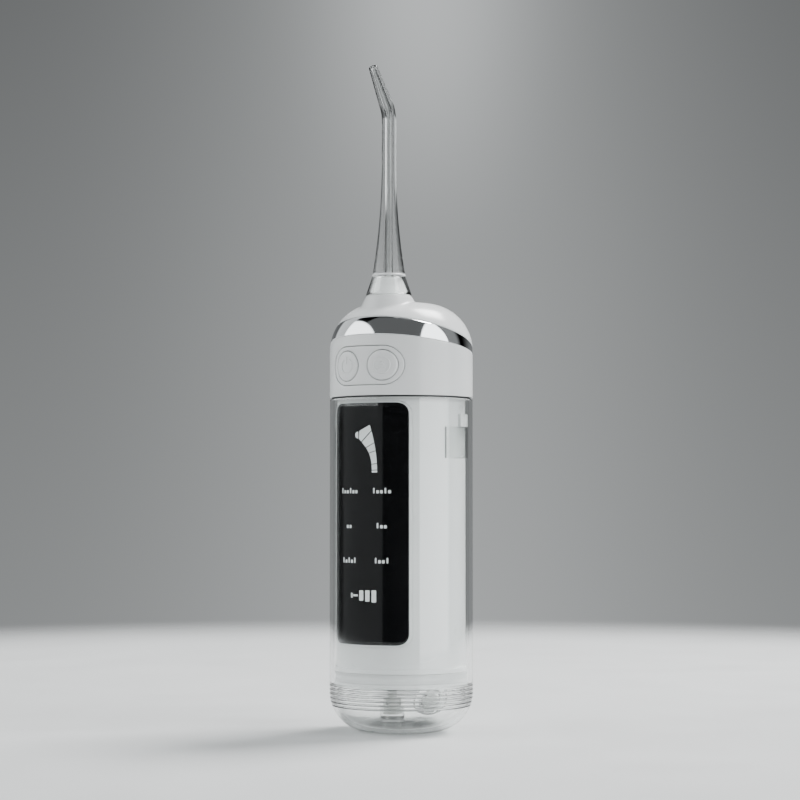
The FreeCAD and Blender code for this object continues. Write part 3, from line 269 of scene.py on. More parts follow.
class Mesh:
    """Points and faces of one piece, in millimetres."""

    def __init__(self):
        self.points = []
        self.faces = []

    def add(self, points):
        """Adds an array of points, whose last axis is x, y, z, and returns their numbers in its shape."""
        points = np.asarray(points, float)
        first = len(self.points)
        self.points.extend(points.reshape(-1, 3).tolist())
        return np.arange(first, len(self.points)).reshape(points.shape[:-1])

    def at(self, numbers):
        return np.array([self.points[n] for n in numbers])

    def quads(self, *corners):
        self.faces.extend(zip(*(c.ravel().tolist() for c in corners)))

    def bridge(self, first, second):
        """Joins two closed loops of equal length."""
        self.quads(first, np.roll(first, -1), np.roll(second, -1), second)

    def loft(self, loops, closed=False):
        """Joins a stack of closed loops, and the last to the first if closed."""
        numbers = [self.add(loop) for loop in loops]
        for first, second in zip(numbers, numbers[1:] + numbers[:1] if closed else numbers[1:]):
            self.bridge(first, second)
        return numbers

    def sheet(self, grid, keep=None, ring_rows=False, ring_columns=True):
        """Faces of a grid of numbers; rows or columns may run round. keep masks the cells that are made."""
        grid = np.vstack([grid, grid[:1]]) if ring_rows else grid
        grid = np.hstack([grid, grid[:, :1]]) if ring_columns else grid
        corners = (grid[:-1, :-1], grid[:-1, 1:], grid[1:, 1:], grid[1:, :-1])
        self.quads(*(corners if keep is None else (c[keep] for c in corners)))

    def chain(self, last, rings):
        """Adds rings of points, each joined to the one before, and returns the numbers of the last."""
        for ring in rings:
            numbers = self.add(ring)
            self.bridge(last, numbers)
            last = numbers
        return last

    def ends(self, loops):
        """Closes the first and the last of a stack of loops."""
        for loop in (loops[0], loops[-1]):
            self.faces.append(tuple(int(n) for n in loop))

    def piece(self, name, body, material, replaces=(), corner=35.0):
        """Makes the object: smooth, but sharp where faces meet at more than corner degrees."""
        data = bpy.data.meshes.new(name)
        data.from_pydata([[c * MM for c in p] for p in self.points], [], self.faces)
        work = bmesh.new()
        work.from_mesh(data)
        bmesh.ops.remove_doubles(work, verts=work.verts, dist=1e-7)
        bmesh.ops.recalc_face_normals(work, faces=work.faces)
        work.to_mesh(data)
        work.free()
        data.shade_smooth()
        data.set_sharp_from_angle(angle=math.radians(corner))
        data.materials.append(MATERIALS[material])
        made = add_object(name, data)
        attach(made, body)
        if replaces:
            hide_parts(*replaces)
        return made


def hug(points, half_x, half_z, radius):
    """The point of a rounded box's outline that each point is nearest to; the box is centred at 0."""
    inner = np.array([half_x - radius, half_z - radius])
    core = np.clip(points, -inner, inner)
    away = points - core
    length = np.maximum(np.linalg.norm(away, axis=-1, keepdims=True), 1e-9)
    return core + away / length * radius


def rounding(size, count):
    """Steps of a quarter-round edge: what is left to its far side, and the depth that it has reached."""
    bends = np.linspace(0, math.pi / 2, count)
    return [(size * (1 - math.sin(bend)), size * (1 - math.cos(bend))) for bend in bends]


def lip(half_x, half_z, radius, size):
    """Rings of a rounded edge that leads into a hole: (half_x, half_z, radius, depth)."""
    return [(half_x + grow, half_z + grow, radius + grow, depth) for grow, depth in rounding(size, 4)]


def rim_of(grid, rows, columns):
    """Numbers round the edge of a block of grid cells."""
    return np.concatenate(
        [
            grid[rows[0], columns[:-1]],
            grid[rows[:-1], columns[-1]],
            grid[rows[-1], columns[:0:-1]],
            grid[rows[:0:-1], columns[0]],
        ]
    )


def whole_rim(grid):
    """Numbers round the edge of a whole grid."""
    return rim_of(grid, list(range(grid.shape[0])), list(range(grid.shape[1])))


class Hole:
    """A hole or stepped pocket through both faces of a shell, made of rings of equal length.

    rows and columns bound the block of cells that it takes from the outer face, twins gives the inner face's
    rows for those of the outer face, and place puts a ring's points (u, v) at a depth under the surface."""

    def __init__(self, rows, columns, rings, flat, place, centre=(0.0, 0.0)):
        self.rows, self.columns, self.rings = rows, columns, rings
        self.flat, self.place, self.centre = flat, place, np.array(centre)

    def cut(self, mesh, grid, keep, twin):
        inner_rows = [twin(r) for r in self.rows]
        count = grid.shape[1]
        cells = [c % count for c in self.columns[:-1]]
        columns = [c % count for c in self.columns]
        keep[np.ix_(range(self.rows[0], self.rows[-1]), cells)] = False
        keep[np.ix_(range(inner_rows[-1], inner_rows[0]), cells)] = False
        outer = rim_of(grid, self.rows, columns)
        inner = rim_of(grid, inner_rows, columns)
        flat = self.flat(mesh.at(outer)) - self.centre
        rings = (self.place(hug(flat, *shape) + self.centre, depth) for *shape, depth in self.rings)
        mesh.bridge(mesh.chain(outer, rings), inner)


def angles(count):
    """Azimuths round the axis; 0 is the front, -Y."""
    return np.arange(count) * TAU / count


def round_points(radius, height, turn):
    """Points at a radius, height and azimuth round the body's axis."""
    radius, height, turn = np.broadcast_arrays(radius, height, turn)
    return np.stack([radius * np.sin(turn), -radius * np.cos(turn), height], -1)


def turned(section, turn):
    """A section's (radius, height) points at each azimuth."""
    radius, height = np.array(section, float).T
    return round_points(radius, height, turn[:, None])


def flat_xz(points):
    return points[:, [0, 2]]


def on_body(profile, side):
    """Places (x, z) on the body's surface, seen along Y from the front (side -1) or the back (side 1)."""

    def place(flat, depth):
        x, z = flat[:, 0], flat[:, 1]
        return np.stack([x, side * np.sqrt(profile(z, depth) ** 2 - x**2), z], -1)

    return place


def cylinder_face(radius):
    """Places (x, z) on the front of a cylinder about the body's axis."""
    return on_body(lambda z, depth: radius - depth, -1)


def dome_radius(height, depth=0.0):
    """The head's radius at a height, moved in by depth."""
    rise = np.maximum(height - DOME_START, 0.0)
    return BODY - DOME + np.sqrt(np.maximum((DOME - depth) ** 2 - rise**2, 0.0))


def plane_height(at_axis, slope, turn, depth):
    """Height at which a plane that falls to the back meets the head's surface."""
    height = np.full(np.shape(turn), float(at_axis))
    for _ in range(40):
        height = 0.5 * height + 0.5 * (at_axis + slope * dome_radius(height, depth) * np.cos(turn))
    return height


def columns_near(half_angle, centre=0):
    """Column numbers that reach half_angle degrees to each side of a column."""
    reach = math.ceil(half_angle / 360 * COLUMNS)
    return list(range(centre - reach, centre + reach + 1))


# ---------- head


def make_band():
    """The head's lower shell, with the opening for the keys in front and the port's pocket behind."""
    turn = angles(COLUMNS)
    steps = np.linspace(0, 1, 25)
    edge = rounding(0.3, 5)
    section = [(0, lift, depth) for lift, depth in edge[::-1]]
    section += [(t, 0.0, 0.0) for t in steps[1:-1]]
    section += [(1, -lift, depth) for lift, depth in edge]
    outer = len(section)
    section += [(t, 0.0, WALL) for t in steps[::-1]]
    rows = []
    for t, lift, depth in section:
        top = plane_height(TRIM_LOW, TRIM_LOW_SLOPE, turn, depth)
        height = HEAD_LOW + t * (top - HEAD_LOW) + lift
        rows.append(round_points(dome_radius(height, depth), height, turn))
    mesh = Mesh()
    grid = mesh.add(np.array(rows))
    keep = np.ones(grid.shape, bool)
    shift = len(edge) - 1

    def twin(row):
        return outer + len(steps) - 1 - (row - shift)

    def block(low, high):
        return list(range(shift + low, shift + high + 1))

    front = lip(PILL_X, PILL_Z, PILL_Z, 0.25) + [(PILL_X, PILL_Z, PILL_Z, WALL)]
    place = on_body(dome_radius, -1)
    pill = Hole(block(3, 20), columns_near(36.5), front, flat_xz, place, (0, KEY_HEIGHT))
    low, high, sunk = PORT_HEIGHT - 3.5, PORT_HEIGHT + 4.3, 1.25
    middle = (low + high) / 2
    pocket = (6.7, (high - low) / 2, 0.6)
    mouth = (4.8, 1.9 + abs(PORT_HEIGHT - middle), 0.5)
    back = lip(*pocket, 0.2) + [(*pocket, sunk), (*mouth, sunk), (*mouth, WALL)]
    place = on_body(dome_radius, 1)
    port = Hole(block(4, 22), columns_near(19.5, BACK), back, flat_xz, place, (0, middle))
    for hole in (pill, port):
        hole.cut(mesh, grid, keep, twin)
    mesh.sheet(grid, keep, ring_rows=True)
    mesh.piece("head_shell", "handle", "white_gloss", ["head_band"])


def make_trim():
    """The bright ring between the two slanted planes."""
    turn = angles(COLUMNS)
    edge = 0.12
    section = [(0, edge, 0.0)] + [(t, 0.0, 0.0) for t in np.linspace(0.08, 0.92, 15)] + [(1, -edge, 0.0)]
    section += [(1, 0.0, edge), (1, 0.0, WALL - edge), (0, 0.0, WALL - edge), (0, 0.0, edge)]
    rows = []
    for t, lift, depth in section:
        low = plane_height(TRIM_LOW, TRIM_LOW_SLOPE, turn, depth)
        high = plane_height(TRIM_HIGH, TRIM_HIGH_SLOPE, turn, depth)
        height = low + t * (high - low) + lift
        rows.append(round_points(dome_radius(height, depth + 0.02), height, turn))
    mesh = Mesh()
    mesh.sheet(mesh.add(np.array(rows)), ring_rows=True)
    mesh.piece("trim_band", "handle", "bright_trim", ["trim_ring"])


def make_cap():
    """The dome and its neck, in vertical planes round the neck's axis."""
    turn = angles(COLUMNS)
    ahead, aside = np.cos(turn), np.sin(turn)

    def from_axis(reach):
        """Distance from the body's axis of a point at that reach from the neck's axis, in each plane."""
        return np.hypot(reach * aside, NOZZLE_AHEAD + reach * ahead)

    def dome_height(reach, depth=0.0):
        out = np.maximum(from_axis(reach) - (BODY - DOME), 0.0)
        return DOME_START + np.sqrt(np.maximum((DOME - depth) ** 2 - out**2, 0.0))

    def neck_reach(height):
        return NECK + NECK_SLOPE * (NECK_TOP - height)

    def solve(test, low, high):
        """Bisection in every plane at once: the last value at which test holds."""
        low, high = np.full(COLUMNS, float(low)), np.full(COLUMNS, float(high))
        for _ in range(50):
            middle = (low + high) / 2
            holds = test(middle)
            low, high = np.where(holds, middle, low), np.where(holds, high, middle)
        return low

    def rim_reach(depth, lift):
        def above(reach):
            height = dome_height(reach, depth)
            plane = TRIM_HIGH + TRIM_HIGH_SLOPE * (NOZZLE_AHEAD + reach * ahead)
            return (height > plane + lift) & (from_axis(reach) < BODY - depth)

        return solve(above, 1.0, BODY + 10)

    def to_points(reach, height):
        height = np.broadcast_to(height, reach.shape)
        return np.stack([reach * aside, -NOZZLE_AHEAD - reach * ahead, height], -1)

    def neck_ring(reach, height):
        return to_points(np.full(COLUMNS, reach), height)

    foot = solve(lambda z: dome_height(neck_reach(z)) < z, NECK_TOP, DOME_START)
    foot_reach = neck_reach(foot)
    fillet, edge, rim, bevel, gap = 0.9, 0.25, 0.4, 0.15, 0.2
    rows = [neck_ring(BORE, NECK_TOP - bevel), neck_ring(BORE + bevel, NECK_TOP)]
    rows += [neck_ring(NECK - inset, NECK_TOP - drop) for inset, drop in rounding(edge, 5)]
    start = foot + fillet / math.hypot(1, NECK_SLOPE)
    for t in np.linspace(0, 1, 6)[1:]:
        height = (NECK_TOP - edge) * (1 - t) + start * t
        rows.append(to_points(neck_reach(height), height))
    begin, corner = rows[-1], to_points(foot_reach, foot)
    end_reach = foot_reach + fillet
    finish = to_points(end_reach, dome_height(end_reach))
    for t in np.linspace(0, 1, 8)[1:]:
        rows.append((1 - t) ** 2 * begin + 2 * t * (1 - t) * corner + t**2 * finish)

    def stretch(first, last, depth, count):
        """Evenly spaced points on the dome from one reach to another, in each plane."""
        fine = np.sin(np.linspace(0, math.pi / 2, 160))[:, None]
        reach = first + (last - first) * fine
        height = np.array([dome_height(r, depth) for r in reach])
        step = np.hypot(np.diff(reach, axis=0), np.diff(height, axis=0))
        length = np.vstack([np.zeros(COLUMNS), np.cumsum(step, axis=0)])
        spaced = np.linspace(0, 1, count)
        out = np.empty((count, COLUMNS))
        for k in range(COLUMNS):
            out[:, k] = np.interp(spaced * length[-1, k], length[:, k], reach[:, k])
        return [to_points(r, dome_height(r, depth)) for r in out]

    count = 30
    first_row = len(rows) - 1
    rows += stretch(end_reach, rim_reach(0.0, rim), 0.0, count)[1:]
    for lift, depth in rounding(rim, 5)[1:]:
        reach = rim_reach(depth, lift)
        rows.append(to_points(reach, dome_height(reach, depth)))
    inside = stretch(np.full(COLUMNS, BORE), rim_reach(WALL, 0.0), WALL, count)[::-1]
    inner_first = len(rows)
    rows += inside
    mesh = Mesh()
    grid = mesh.add(np.array(rows))
    keep = np.ones(grid.shape, bool)
    heights = np.array([row[BACK, 2] for row in rows[: first_row + count]])
    low, high = CATCH_LOW - gap, CATCH_LOW + RELEASE_TALL + gap
    start_row = max(r for r in range(first_row, first_row + count) if heights[r] > high + 0.6)
    end_row = min(r for r in range(first_row, first_row + count) if heights[r] < low - 0.6)

    def twin(row):
        return inner_first + count - 1 - (row - first_row)

    box = (RELEASE_HALF + gap, (high - low) / 2, 0.5)
    rings = lip(*box, 0.25) + [(*box, WALL)]
    cut_rows, place = list(range(start_row, end_row + 1)), on_body(dome_radius, 1)
    opening = Hole(cut_rows, columns_near(12.5, BACK), rings, flat_xz, place, (0, (low + high) / 2))
    opening.cut(mesh, grid, keep, twin)
    mesh.sheet(grid, keep, ring_rows=True)
    mesh.piece("head_dome", "handle", "white_gloss", ["head_cap"])


# ---------- plates on the body's surface


def plate_grid(half_x, half_z, radius, step):
    """A flat grid for a rounded box, which stays clear of its corners."""
    inset = max(0.36 * radius, 0.4)
    across = np.linspace(-half_x + inset, half_x - inset, 2 * math.ceil((half_x - inset) / step) + 1)
    along = np.linspace(-half_z + inset, half_z - inset, 2 * math.ceil((half_z - inset) / step) + 1)
    return np.stack(np.meshgrid(across, along), -1)


def plate_outline(flat):
    """The points round the rim of a flat grid."""
    return flat.reshape(-1, 2)[whole_rim(np.arange(flat[..., 0].size).reshape(flat.shape[:2]))]


def make_plate(mesh, centre, half_x, half_z, radius, place, depths, edge, step=0.9):
    """A rounded plate between two depths under a surface, with a rounded front edge."""
    flat = plate_grid(half_x, half_z, radius, step)
    centre = np.array(centre)
    loops = []
    for depth in depths:
        grid = mesh.add(place(flat.reshape(-1, 2) + centre, depth).reshape(*flat.shape[:2], 3))
        mesh.sheet(grid, ring_columns=False)
        loops.append(whole_rim(grid))
    around = plate_outline(flat)
    steps = [(-inset, depths[0] + sink) for inset, sink in rounding(edge, 4)] + [(0.0, depths[1])]
    rings = []
    for grow, depth in steps:
        outline = hug(around, half_x + grow, half_z + grow, max(radius + grow, 0.01))
        rings.append(place(outline + centre, depth))
    mesh.bridge(mesh.chain(loops[0], rings), loops[1])


def make_window():
    """The dark pane and the narrow frame round it."""
    place, middle = cylinder_face(WINDOW_FACE), np.array([0, WINDOW_Z])
    depth = 1.15
    mesh = Mesh()
    make_plate(mesh, middle, WINDOW_X, WINDOW_TALL, WINDOW_CORNER, place, (0.0, depth), 0.12)
    mesh.piece("window_pane", "handle", "black_window", ["display_window"])
    around = plate_outline(plate_grid(WINDOW_X, WINDOW_TALL, WINDOW_CORNER, 0.9))
    rings = [(0.0, depth), (0.0, 0.1), (0.08, 0.0), (BEZEL - 0.15, -0.05), (BEZEL, 0.12), (BEZEL, depth)]
    loops = []
    for grow, sink in rings:
        flat = hug(around, WINDOW_X + grow, WINDOW_TALL + grow, WINDOW_CORNER + grow)
        loops.append(place(flat + middle, sink))
    mesh = Mesh()
    mesh.loft(loops, closed=True)
    mesh.piece("window_frame", "handle", "white_gloss", ["display_bezel"])


def stadium(half_x, radius):
    """Points round a bar with round ends, clockwise from the middle of its top, as seen from the front."""
    reach, straight = half_x - radius, 16
    bends = np.linspace(0, math.pi, 24)
    points = [(reach * t, radius) for t in np.linspace(0, 1, straight)[:-1]]
    points += [(reach + radius * math.sin(b), radius * math.cos(b)) for b in bends]
    points += [(reach * t, -radius) for t in np.linspace(1, -1, 2 * straight - 1)[1:-1]]
    points += [(-reach - radius * math.sin(b), -radius * math.cos(b)) for b in bends]
    points += [(reach * t, radius) for t in np.linspace(-1, 0, straight)[1:-1]]
    return np.array(points)


def make_key_plate():
    """The panel round the two keys: a bar with round ends, each half of which surrounds one hole."""
    mesh = Mesh()
    place = cylinder_face(BODY - 0.05)
    middle = np.array([0, KEY_HEIGHT])
    half_x, radius, edge, thick = PILL_X - 0.2, PILL_Z - 0.2, 0.25, 1.55
    key_hole = KEY + 0.22
    spans = 14
    faces = []
    for depth, inset in ((0.0, edge), (thick, 0.0)):
        rim_flat = stadium(half_x - inset, radius - inset)
        rim = mesh.add(place(rim_flat + middle, depth))
        half = len(rim) // 2
        seam_flat = np.stack([np.zeros(spans - 1), np.linspace(-1, 1, spans + 1)[1:-1] * rim_flat[0, 1]], -1)
        seam = mesh.add(place(seam_flat + middle, depth))
        right = np.r_[: half + 1]
        holes = []
        for side, part, along in ((1, right, 1), (-1, np.r_[half : len(rim), 0], -1)):
            loop = np.concatenate([rim[part], seam[::along]])
            flat = np.concatenate([rim_flat[part], seam_flat[::along]])
            centre = np.array([side * KEY_X, 0.0])
            away = flat - centre
            away = away / np.linalg.norm(away, axis=1, keepdims=True)
            circle = centre + away * (key_hole + inset)
            rings = [place(flat + (circle - flat) * t + middle, depth) for t in (0.35, 0.7, 1.0)]
            holes.append((mesh.chain(loop, rings), centre, away))
        faces.append((rim, holes))
    (front_rim, front_holes), (back_rim, back_holes) = faces
    steps = rounding(edge, 4)[1:]
    rings = [place(stadium(half_x - inset, radius - inset) + middle, depth) for inset, depth in steps]
    mesh.bridge(mesh.chain(front_rim, rings), back_rim)
    for (front, centre, away), (back, _, _) in zip(front_holes, back_holes):
        rings = [place(centre + away * (key_hole + inset) + middle, depth) for inset, depth in steps]
        mesh.bridge(mesh.chain(front, rings), back)
    mesh.piece("key_panel", "handle", "white_gloss", ["button_plate"])


def ribbon(mesh, path, width, place, lift, closed=False):
    """A raised line of even width along a path of (x, z) points."""
    path = np.array(path, float)
    if closed:
        along = np.roll(path, -1, 0) - np.roll(path, 1, 0)
    else:
        along = np.gradient(path, axis=0)
    along /= np.linalg.norm(along, axis=1, keepdims=True)
    across = np.stack([-along[:, 1], along[:, 0]], -1) * width / 2
    soft = lift * 0.6
    left = [(-1.0, 0.08), (-1.0, -lift + soft), (-0.7, -lift)]
    corners = left + [(-side, depth) for side, depth in left[::-1]]
    rows = np.array([place(path + across * side, depth) for side, depth in corners])
    grid = mesh.add(rows.transpose(1, 0, 2))
    mesh.sheet(grid, ring_rows=closed)
    if not closed:
        mesh.ends(grid)


def arc(centre, radius, start, end, count):
    """Points of an arc; the angles are in degrees from straight up, clockwise as seen from the front."""
    turn = np.radians(np.linspace(start, end, count))
    return np.stack([centre[0] + radius * np.sin(turn), centre[1] + radius * np.cos(turn)], -1)


def make_keys():
    """The round keys, each with a raised sign and a plunger behind it."""
    for name, side in (("power", -1), ("mode", 1)):
        mesh = Mesh()
        centre = (side * KEY_X, KEY_HEIGHT)
        face = cylinder_face(KEY_FACE)
        make_plate(mesh, centre, KEY, KEY, KEY, face, (0.0, 1.6), 0.35, 0.7)
        body = f"{name}_key"
        stem = [(1.6, -BODY + 1.9), (1.6, KEY_BACK), (1.4, KEY_BACK - 0.2)]
        turn = angles(32)
        loops = []
        for reach, y in stem:
            x, z = centre[0] + reach * np.sin(turn), centre[1] + reach * np.cos(turn)
            loops.append(np.stack([x, np.full(len(turn), y), z], -1))
        mesh.ends(mesh.loft(loops))
        if name == "power":
            stroke = [(centre[0], centre[1] + z) for z in np.linspace(0.6, 3.0, 6)]
            for line in (arc(centre, 2.3, 32, 328, 40), stroke):
                ribbon(mesh, line, 0.42, face, KEY_SIGN_RISE)
        else:
            ribbon(mesh, arc(centre, 2.6, 0, 360 - 9, 40), 0.38, face, KEY_SIGN_RISE, closed=True)
            for level, half in ((1.1, 0.55), (0.2, 0.9), (-0.7, 1.25)):
                wave = [(x, level + 0.25 * math.cos(x * 2.6)) for x in np.linspace(-half, half, 12)]
                ribbon(mesh, np.array(wave) + centre, 0.38, face, KEY_SIGN_RISE)
        mesh.piece(f"{name}_cap", body, "white_gloss", [f"{name}_button"])


# ---------- housing and tank


def make_housing():
    """The white inner tube, with a recess for the window and an opening behind it, and its two stop lugs."""
    turn = angles(COLUMNS)
    first, last = WINDOW_LOW - 1.3, WINDOW_HIGH + 1.3
    cut = 64
    below = [HOUSING_LOW, (HOUSING_LOW + first) / 2]
    heights = np.concatenate([below, np.linspace(first, last, cut), [HOUSING_HIGH]])
    outer, inner = HOUSING, HOUSING - HOUSING_WALL
    rows = [round_points(outer, z, turn) for z in heights]
    rows += [round_points(inner, z, turn) for z in heights[::-1]]
    mesh = Mesh()
    grid = mesh.add(np.array(rows))
    keep = np.ones(grid.shape, bool)
    recess = (WINDOW_X + BEZEL, WINDOW_TALL + BEZEL, WINDOW_CORNER + BEZEL)
    opening = (8.4, 31.0, 1.5)
    sunk = 0.6
    rings = lip(*recess, 0.12) + [(*recess, sunk), (*opening, sunk), (*opening, HOUSING_WALL)]
    block = list(range(len(below), len(below) + cut))
    window = Hole(block, columns_near(43.0), rings, flat_xz, cylinder_face(HOUSING), (0, WINDOW_Z))
    window.cut(mesh, grid, keep, lambda row: len(rows) - 1 - row)
    mesh.sheet(grid, keep, ring_rows=True)
    foot = HOUSING - 0.2
    section = [(foot, LUG_LOW), (LUG_REACH, LUG_LOW), (LUG_REACH, LUG_HIGH), (foot, LUG_HIGH)]
    for side in (-1, 1):
        lug = mesh.add(turned(section, math.radians(90 * side) + side * np.radians(np.linspace(0, 15, 13))))
        mesh.sheet(lug)
        mesh.ends(lug)
    mesh.piece("housing_tube", "handle", "housing_white", ["inner_housing"])


def tank_rows():
    """Stations of the tank's section, with the groove's depth at each: from its floor to its rim.

    A station is (radius, height, outward radius, outward height)."""
    corner, middle = TANK_CORNER, BODY - TANK_CORNER
    length_of_arc = corner * math.pi / 2

    def at(length):
        if length < length_of_arc:
            out, up = math.sin(length / corner), -math.cos(length / corner)
            return (middle + corner * out, corner + corner * up, out, up)
        return (BODY, corner + length - length_of_arc, 1.0, 0.0)

    def length_at(height):
        if height < corner:
            return corner * math.acos(1 - height / corner)
        return length_of_arc + height - corner

    grooves = [length_at(RIB_LOW + k * RIB_PITCH) for k in range(RIB_COUNT)]
    half = math.sqrt(RIB_RADIUS**2 - (RIB_RADIUS - RIB_DEPTH) ** 2)
    lengths = list(np.linspace(0, grooves[0] - half - 0.15, 22))
    depths = [0.0] * len(lengths)
    for groove in grooves:
        for t in np.linspace(-1, 1, 9):
            offset = half * math.sin(t * math.pi / 2)
            lengths.append(groove + offset)
            reach = math.sqrt(max(RIB_RADIUS**2 - offset**2, 0))
            depths.append(max(reach - (RIB_RADIUS - RIB_DEPTH), 0.0))
    beyond = lengths[-1]
    for extra in (0.3, 1.5, 4, 10, 20, 35, 50, 65, 80):
        lengths.append(beyond + extra)
        depths.append(0.0)
    rows = [((r, 0.0, 0.0, -1.0), 0.0) for r in np.linspace(0.6, middle, 10)[:-1]]
    rows += [(at(length), depth) for length, depth in zip(lengths, depths)]
    rows += [((BODY, TANK_TOP - below, 1.0, 0.0), 0.0) for below in (1.2, 0.7, 0.3)]
    return rows


def make_tank():
    """The clear tank: its grooves fade out at the back, beside the filling hole."""
    turn = angles(COLUMNS)
    from_back = np.abs(np.degrees(turn) - 180)
    fade = np.clip((from_back - 16) / 8, 0, 1)
    fade = fade * fade * (3 - 2 * fade)
    stations = tank_rows()

    def row(station, depth):
        radius, height, out, up = station
        return round_points(radius - depth * out, height - depth * up, turn)

    outer = [row(station, groove * fade) for station, groove in stations]
    inner = [row(station, TANK_WALL) for station, _ in stations][::-1]
    rim = rounding(0.3, 4)[1:]
    over = [round_points(BODY - inset, TANK_TOP - drop, turn) for drop, inset in rim]
    over += [round_points(BODY - TANK_WALL + inset, TANK_TOP - drop, turn) for drop, inset in rim[::-1]]
    rows = outer + over + inner
    mesh = Mesh()
    grid = mesh.add(np.array(rows))
    count = len(stations)
    keep = np.ones((len(rows) - 1, COLUMNS), bool)
    tilt = math.radians(FILL_TILT)
    middle = BODY - TANK_CORNER
    out_way = np.array([0, math.cos(tilt), -math.sin(tilt)])
    up_way = np.array([0, math.sin(tilt), math.cos(tilt)])
    across_way = np.array([1.0, 0, 0])
    origin = np.array([0, middle, TANK_CORNER])
    own = 100.0  # added to a depth that is measured along the hole

    def to_flat(points):
        away = points - origin
        return np.stack([away @ across_way, away @ up_way], -1)

    def from_flat(flat, reach):
        reach = np.broadcast_to(reach, flat.shape[:1])
        return origin + flat[:, :1] * across_way + flat[:, 1:] * up_way + reach[:, None] * out_way

    def surface(flat, depth):
        """Slides each point along the filling hole's axis to a depth under the tank's surface."""
        low, high = np.full(len(flat), 4.0), np.full(len(flat), 16.0)
        for _ in range(40):
            reach = (low + high) / 2
            point = from_flat(flat, reach)
            away = np.hypot(point[:, 0], point[:, 1])
            rest = TANK_CORNER - point[:, 2]
            reached = np.where(rest > 0, np.hypot(np.maximum(away - middle, 0), rest), away - middle)
            inside = reached < TANK_CORNER - depth
            low, high = np.where(inside, reach, low), np.where(inside, high, reach)
        return from_flat(flat, low)

    def place(flat, depth):
        """A depth under the surface, or, with own added, under the filling hole's own level."""
        return surface(flat, depth) if depth < own / 2 else from_flat(flat, TANK_CORNER - (depth - own))

    lid, mouth, boss = FILL_LID + 0.2, FILL_RADIUS, FILL_LID + 1.6
    seat, end = own + 1.7, own + 4.2
    steps = [(lid, seat), (mouth + 0.2, seat), (mouth, seat + 0.2), (mouth, end), (boss, end), (boss, TANK_WALL)]
    rings = lip(lid, lid, lid, 0.2) + [(radius, radius, radius, depth) for radius, depth in steps]
    heights = np.array([ring[BACK, 2] for ring in outer])
    first = max(k for k in range(count) if heights[k] < 1.2)
    last = min(k for k in range(count) if heights[k] > 13.0)
    hole = Hole(list(range(first, last + 1)), columns_near(17.0, BACK), rings, to_flat, place)
    hole.cut(mesh, grid, keep, lambda k: len(rows) - 1 - k)
    mesh.sheet(grid, keep)
    mesh.ends(grid)
    well = [(4.1, 1.35), (4.1, 5.6), (3.9, 5.8), (3.2, 5.8), (3.0, 5.6), (3.0, 3.4)]
    around = angles(64)
    loops = []
    for radius, height in well:
        x, y = SUCTION[0] + radius * np.sin(around), SUCTION[1] + radius * np.cos(around)
        loops.append(np.stack([x, y, np.full(len(around), height)], -1))
    mesh.ends(mesh.loft(loops))
    mesh.piece("tank_shell", "tank", "clear_shell", ["tank_sleeve"])


def make_bush():
    """The clear bush in the tank's rim, which guides it on the housing and stays clear of the window."""
    outside, inside = BODY - TANK_WALL - 0.03, HOUSING + 0.1
    half_gap = math.acos(-BUSH_LOW[1] / outside)
    turn = np.linspace(half_gap, TAU - half_gap, 121)
    edge = 0.12
    low, high = BUSH_LOW[2], BUSH_HIGH[2]
    section = [(outside - edge, low), (outside, low + edge), (outside, high - edge), (outside - edge, high)]
    section += [(inside + edge, high), (inside, high - edge), (inside, low + edge), (inside + edge, low)]
    mesh = Mesh()
    grid = mesh.add(turned(section, turn))
    mesh.sheet(grid)
    mesh.ends(grid)
    mesh.piece("guide_ring", "tank", "clear_shell", ["guide_bush"])


# ---------- nozzle


def nozzle_point(along):
    """Centre and the two directions across, at a distance along the nozzle, which starts as a height."""
    arc_length = BEND_RADIUS * math.radians(BEND_ANGLE)
    turn = min(max(along - BEND_START, 0), arc_length) / BEND_RADIUS
    y = -NOZZLE_AHEAD - BEND_RADIUS * (1 - math.cos(turn))
    z = min(along, BEND_START) + BEND_RADIUS * math.sin(turn)
    beyond = max(along - BEND_START - arc_length, 0)
    y, z = y - beyond * math.sin(turn), z + beyond * math.cos(turn)
    return np.array([0, y, z]), np.array([1.0, 0, 0]), np.array([0, -math.cos(turn), -math.sin(turn)])


def swept(rows):
    """Rings about the nozzle's axis from rows of (distance along it, radius)."""
    around = angles(72)[:, None]
    loops = []
    for along, radius in rows:
        centre, aside, ahead = nozzle_point(along)
        loops.append(centre + radius * (np.sin(around) * aside + np.cos(around) * ahead))
    return loops


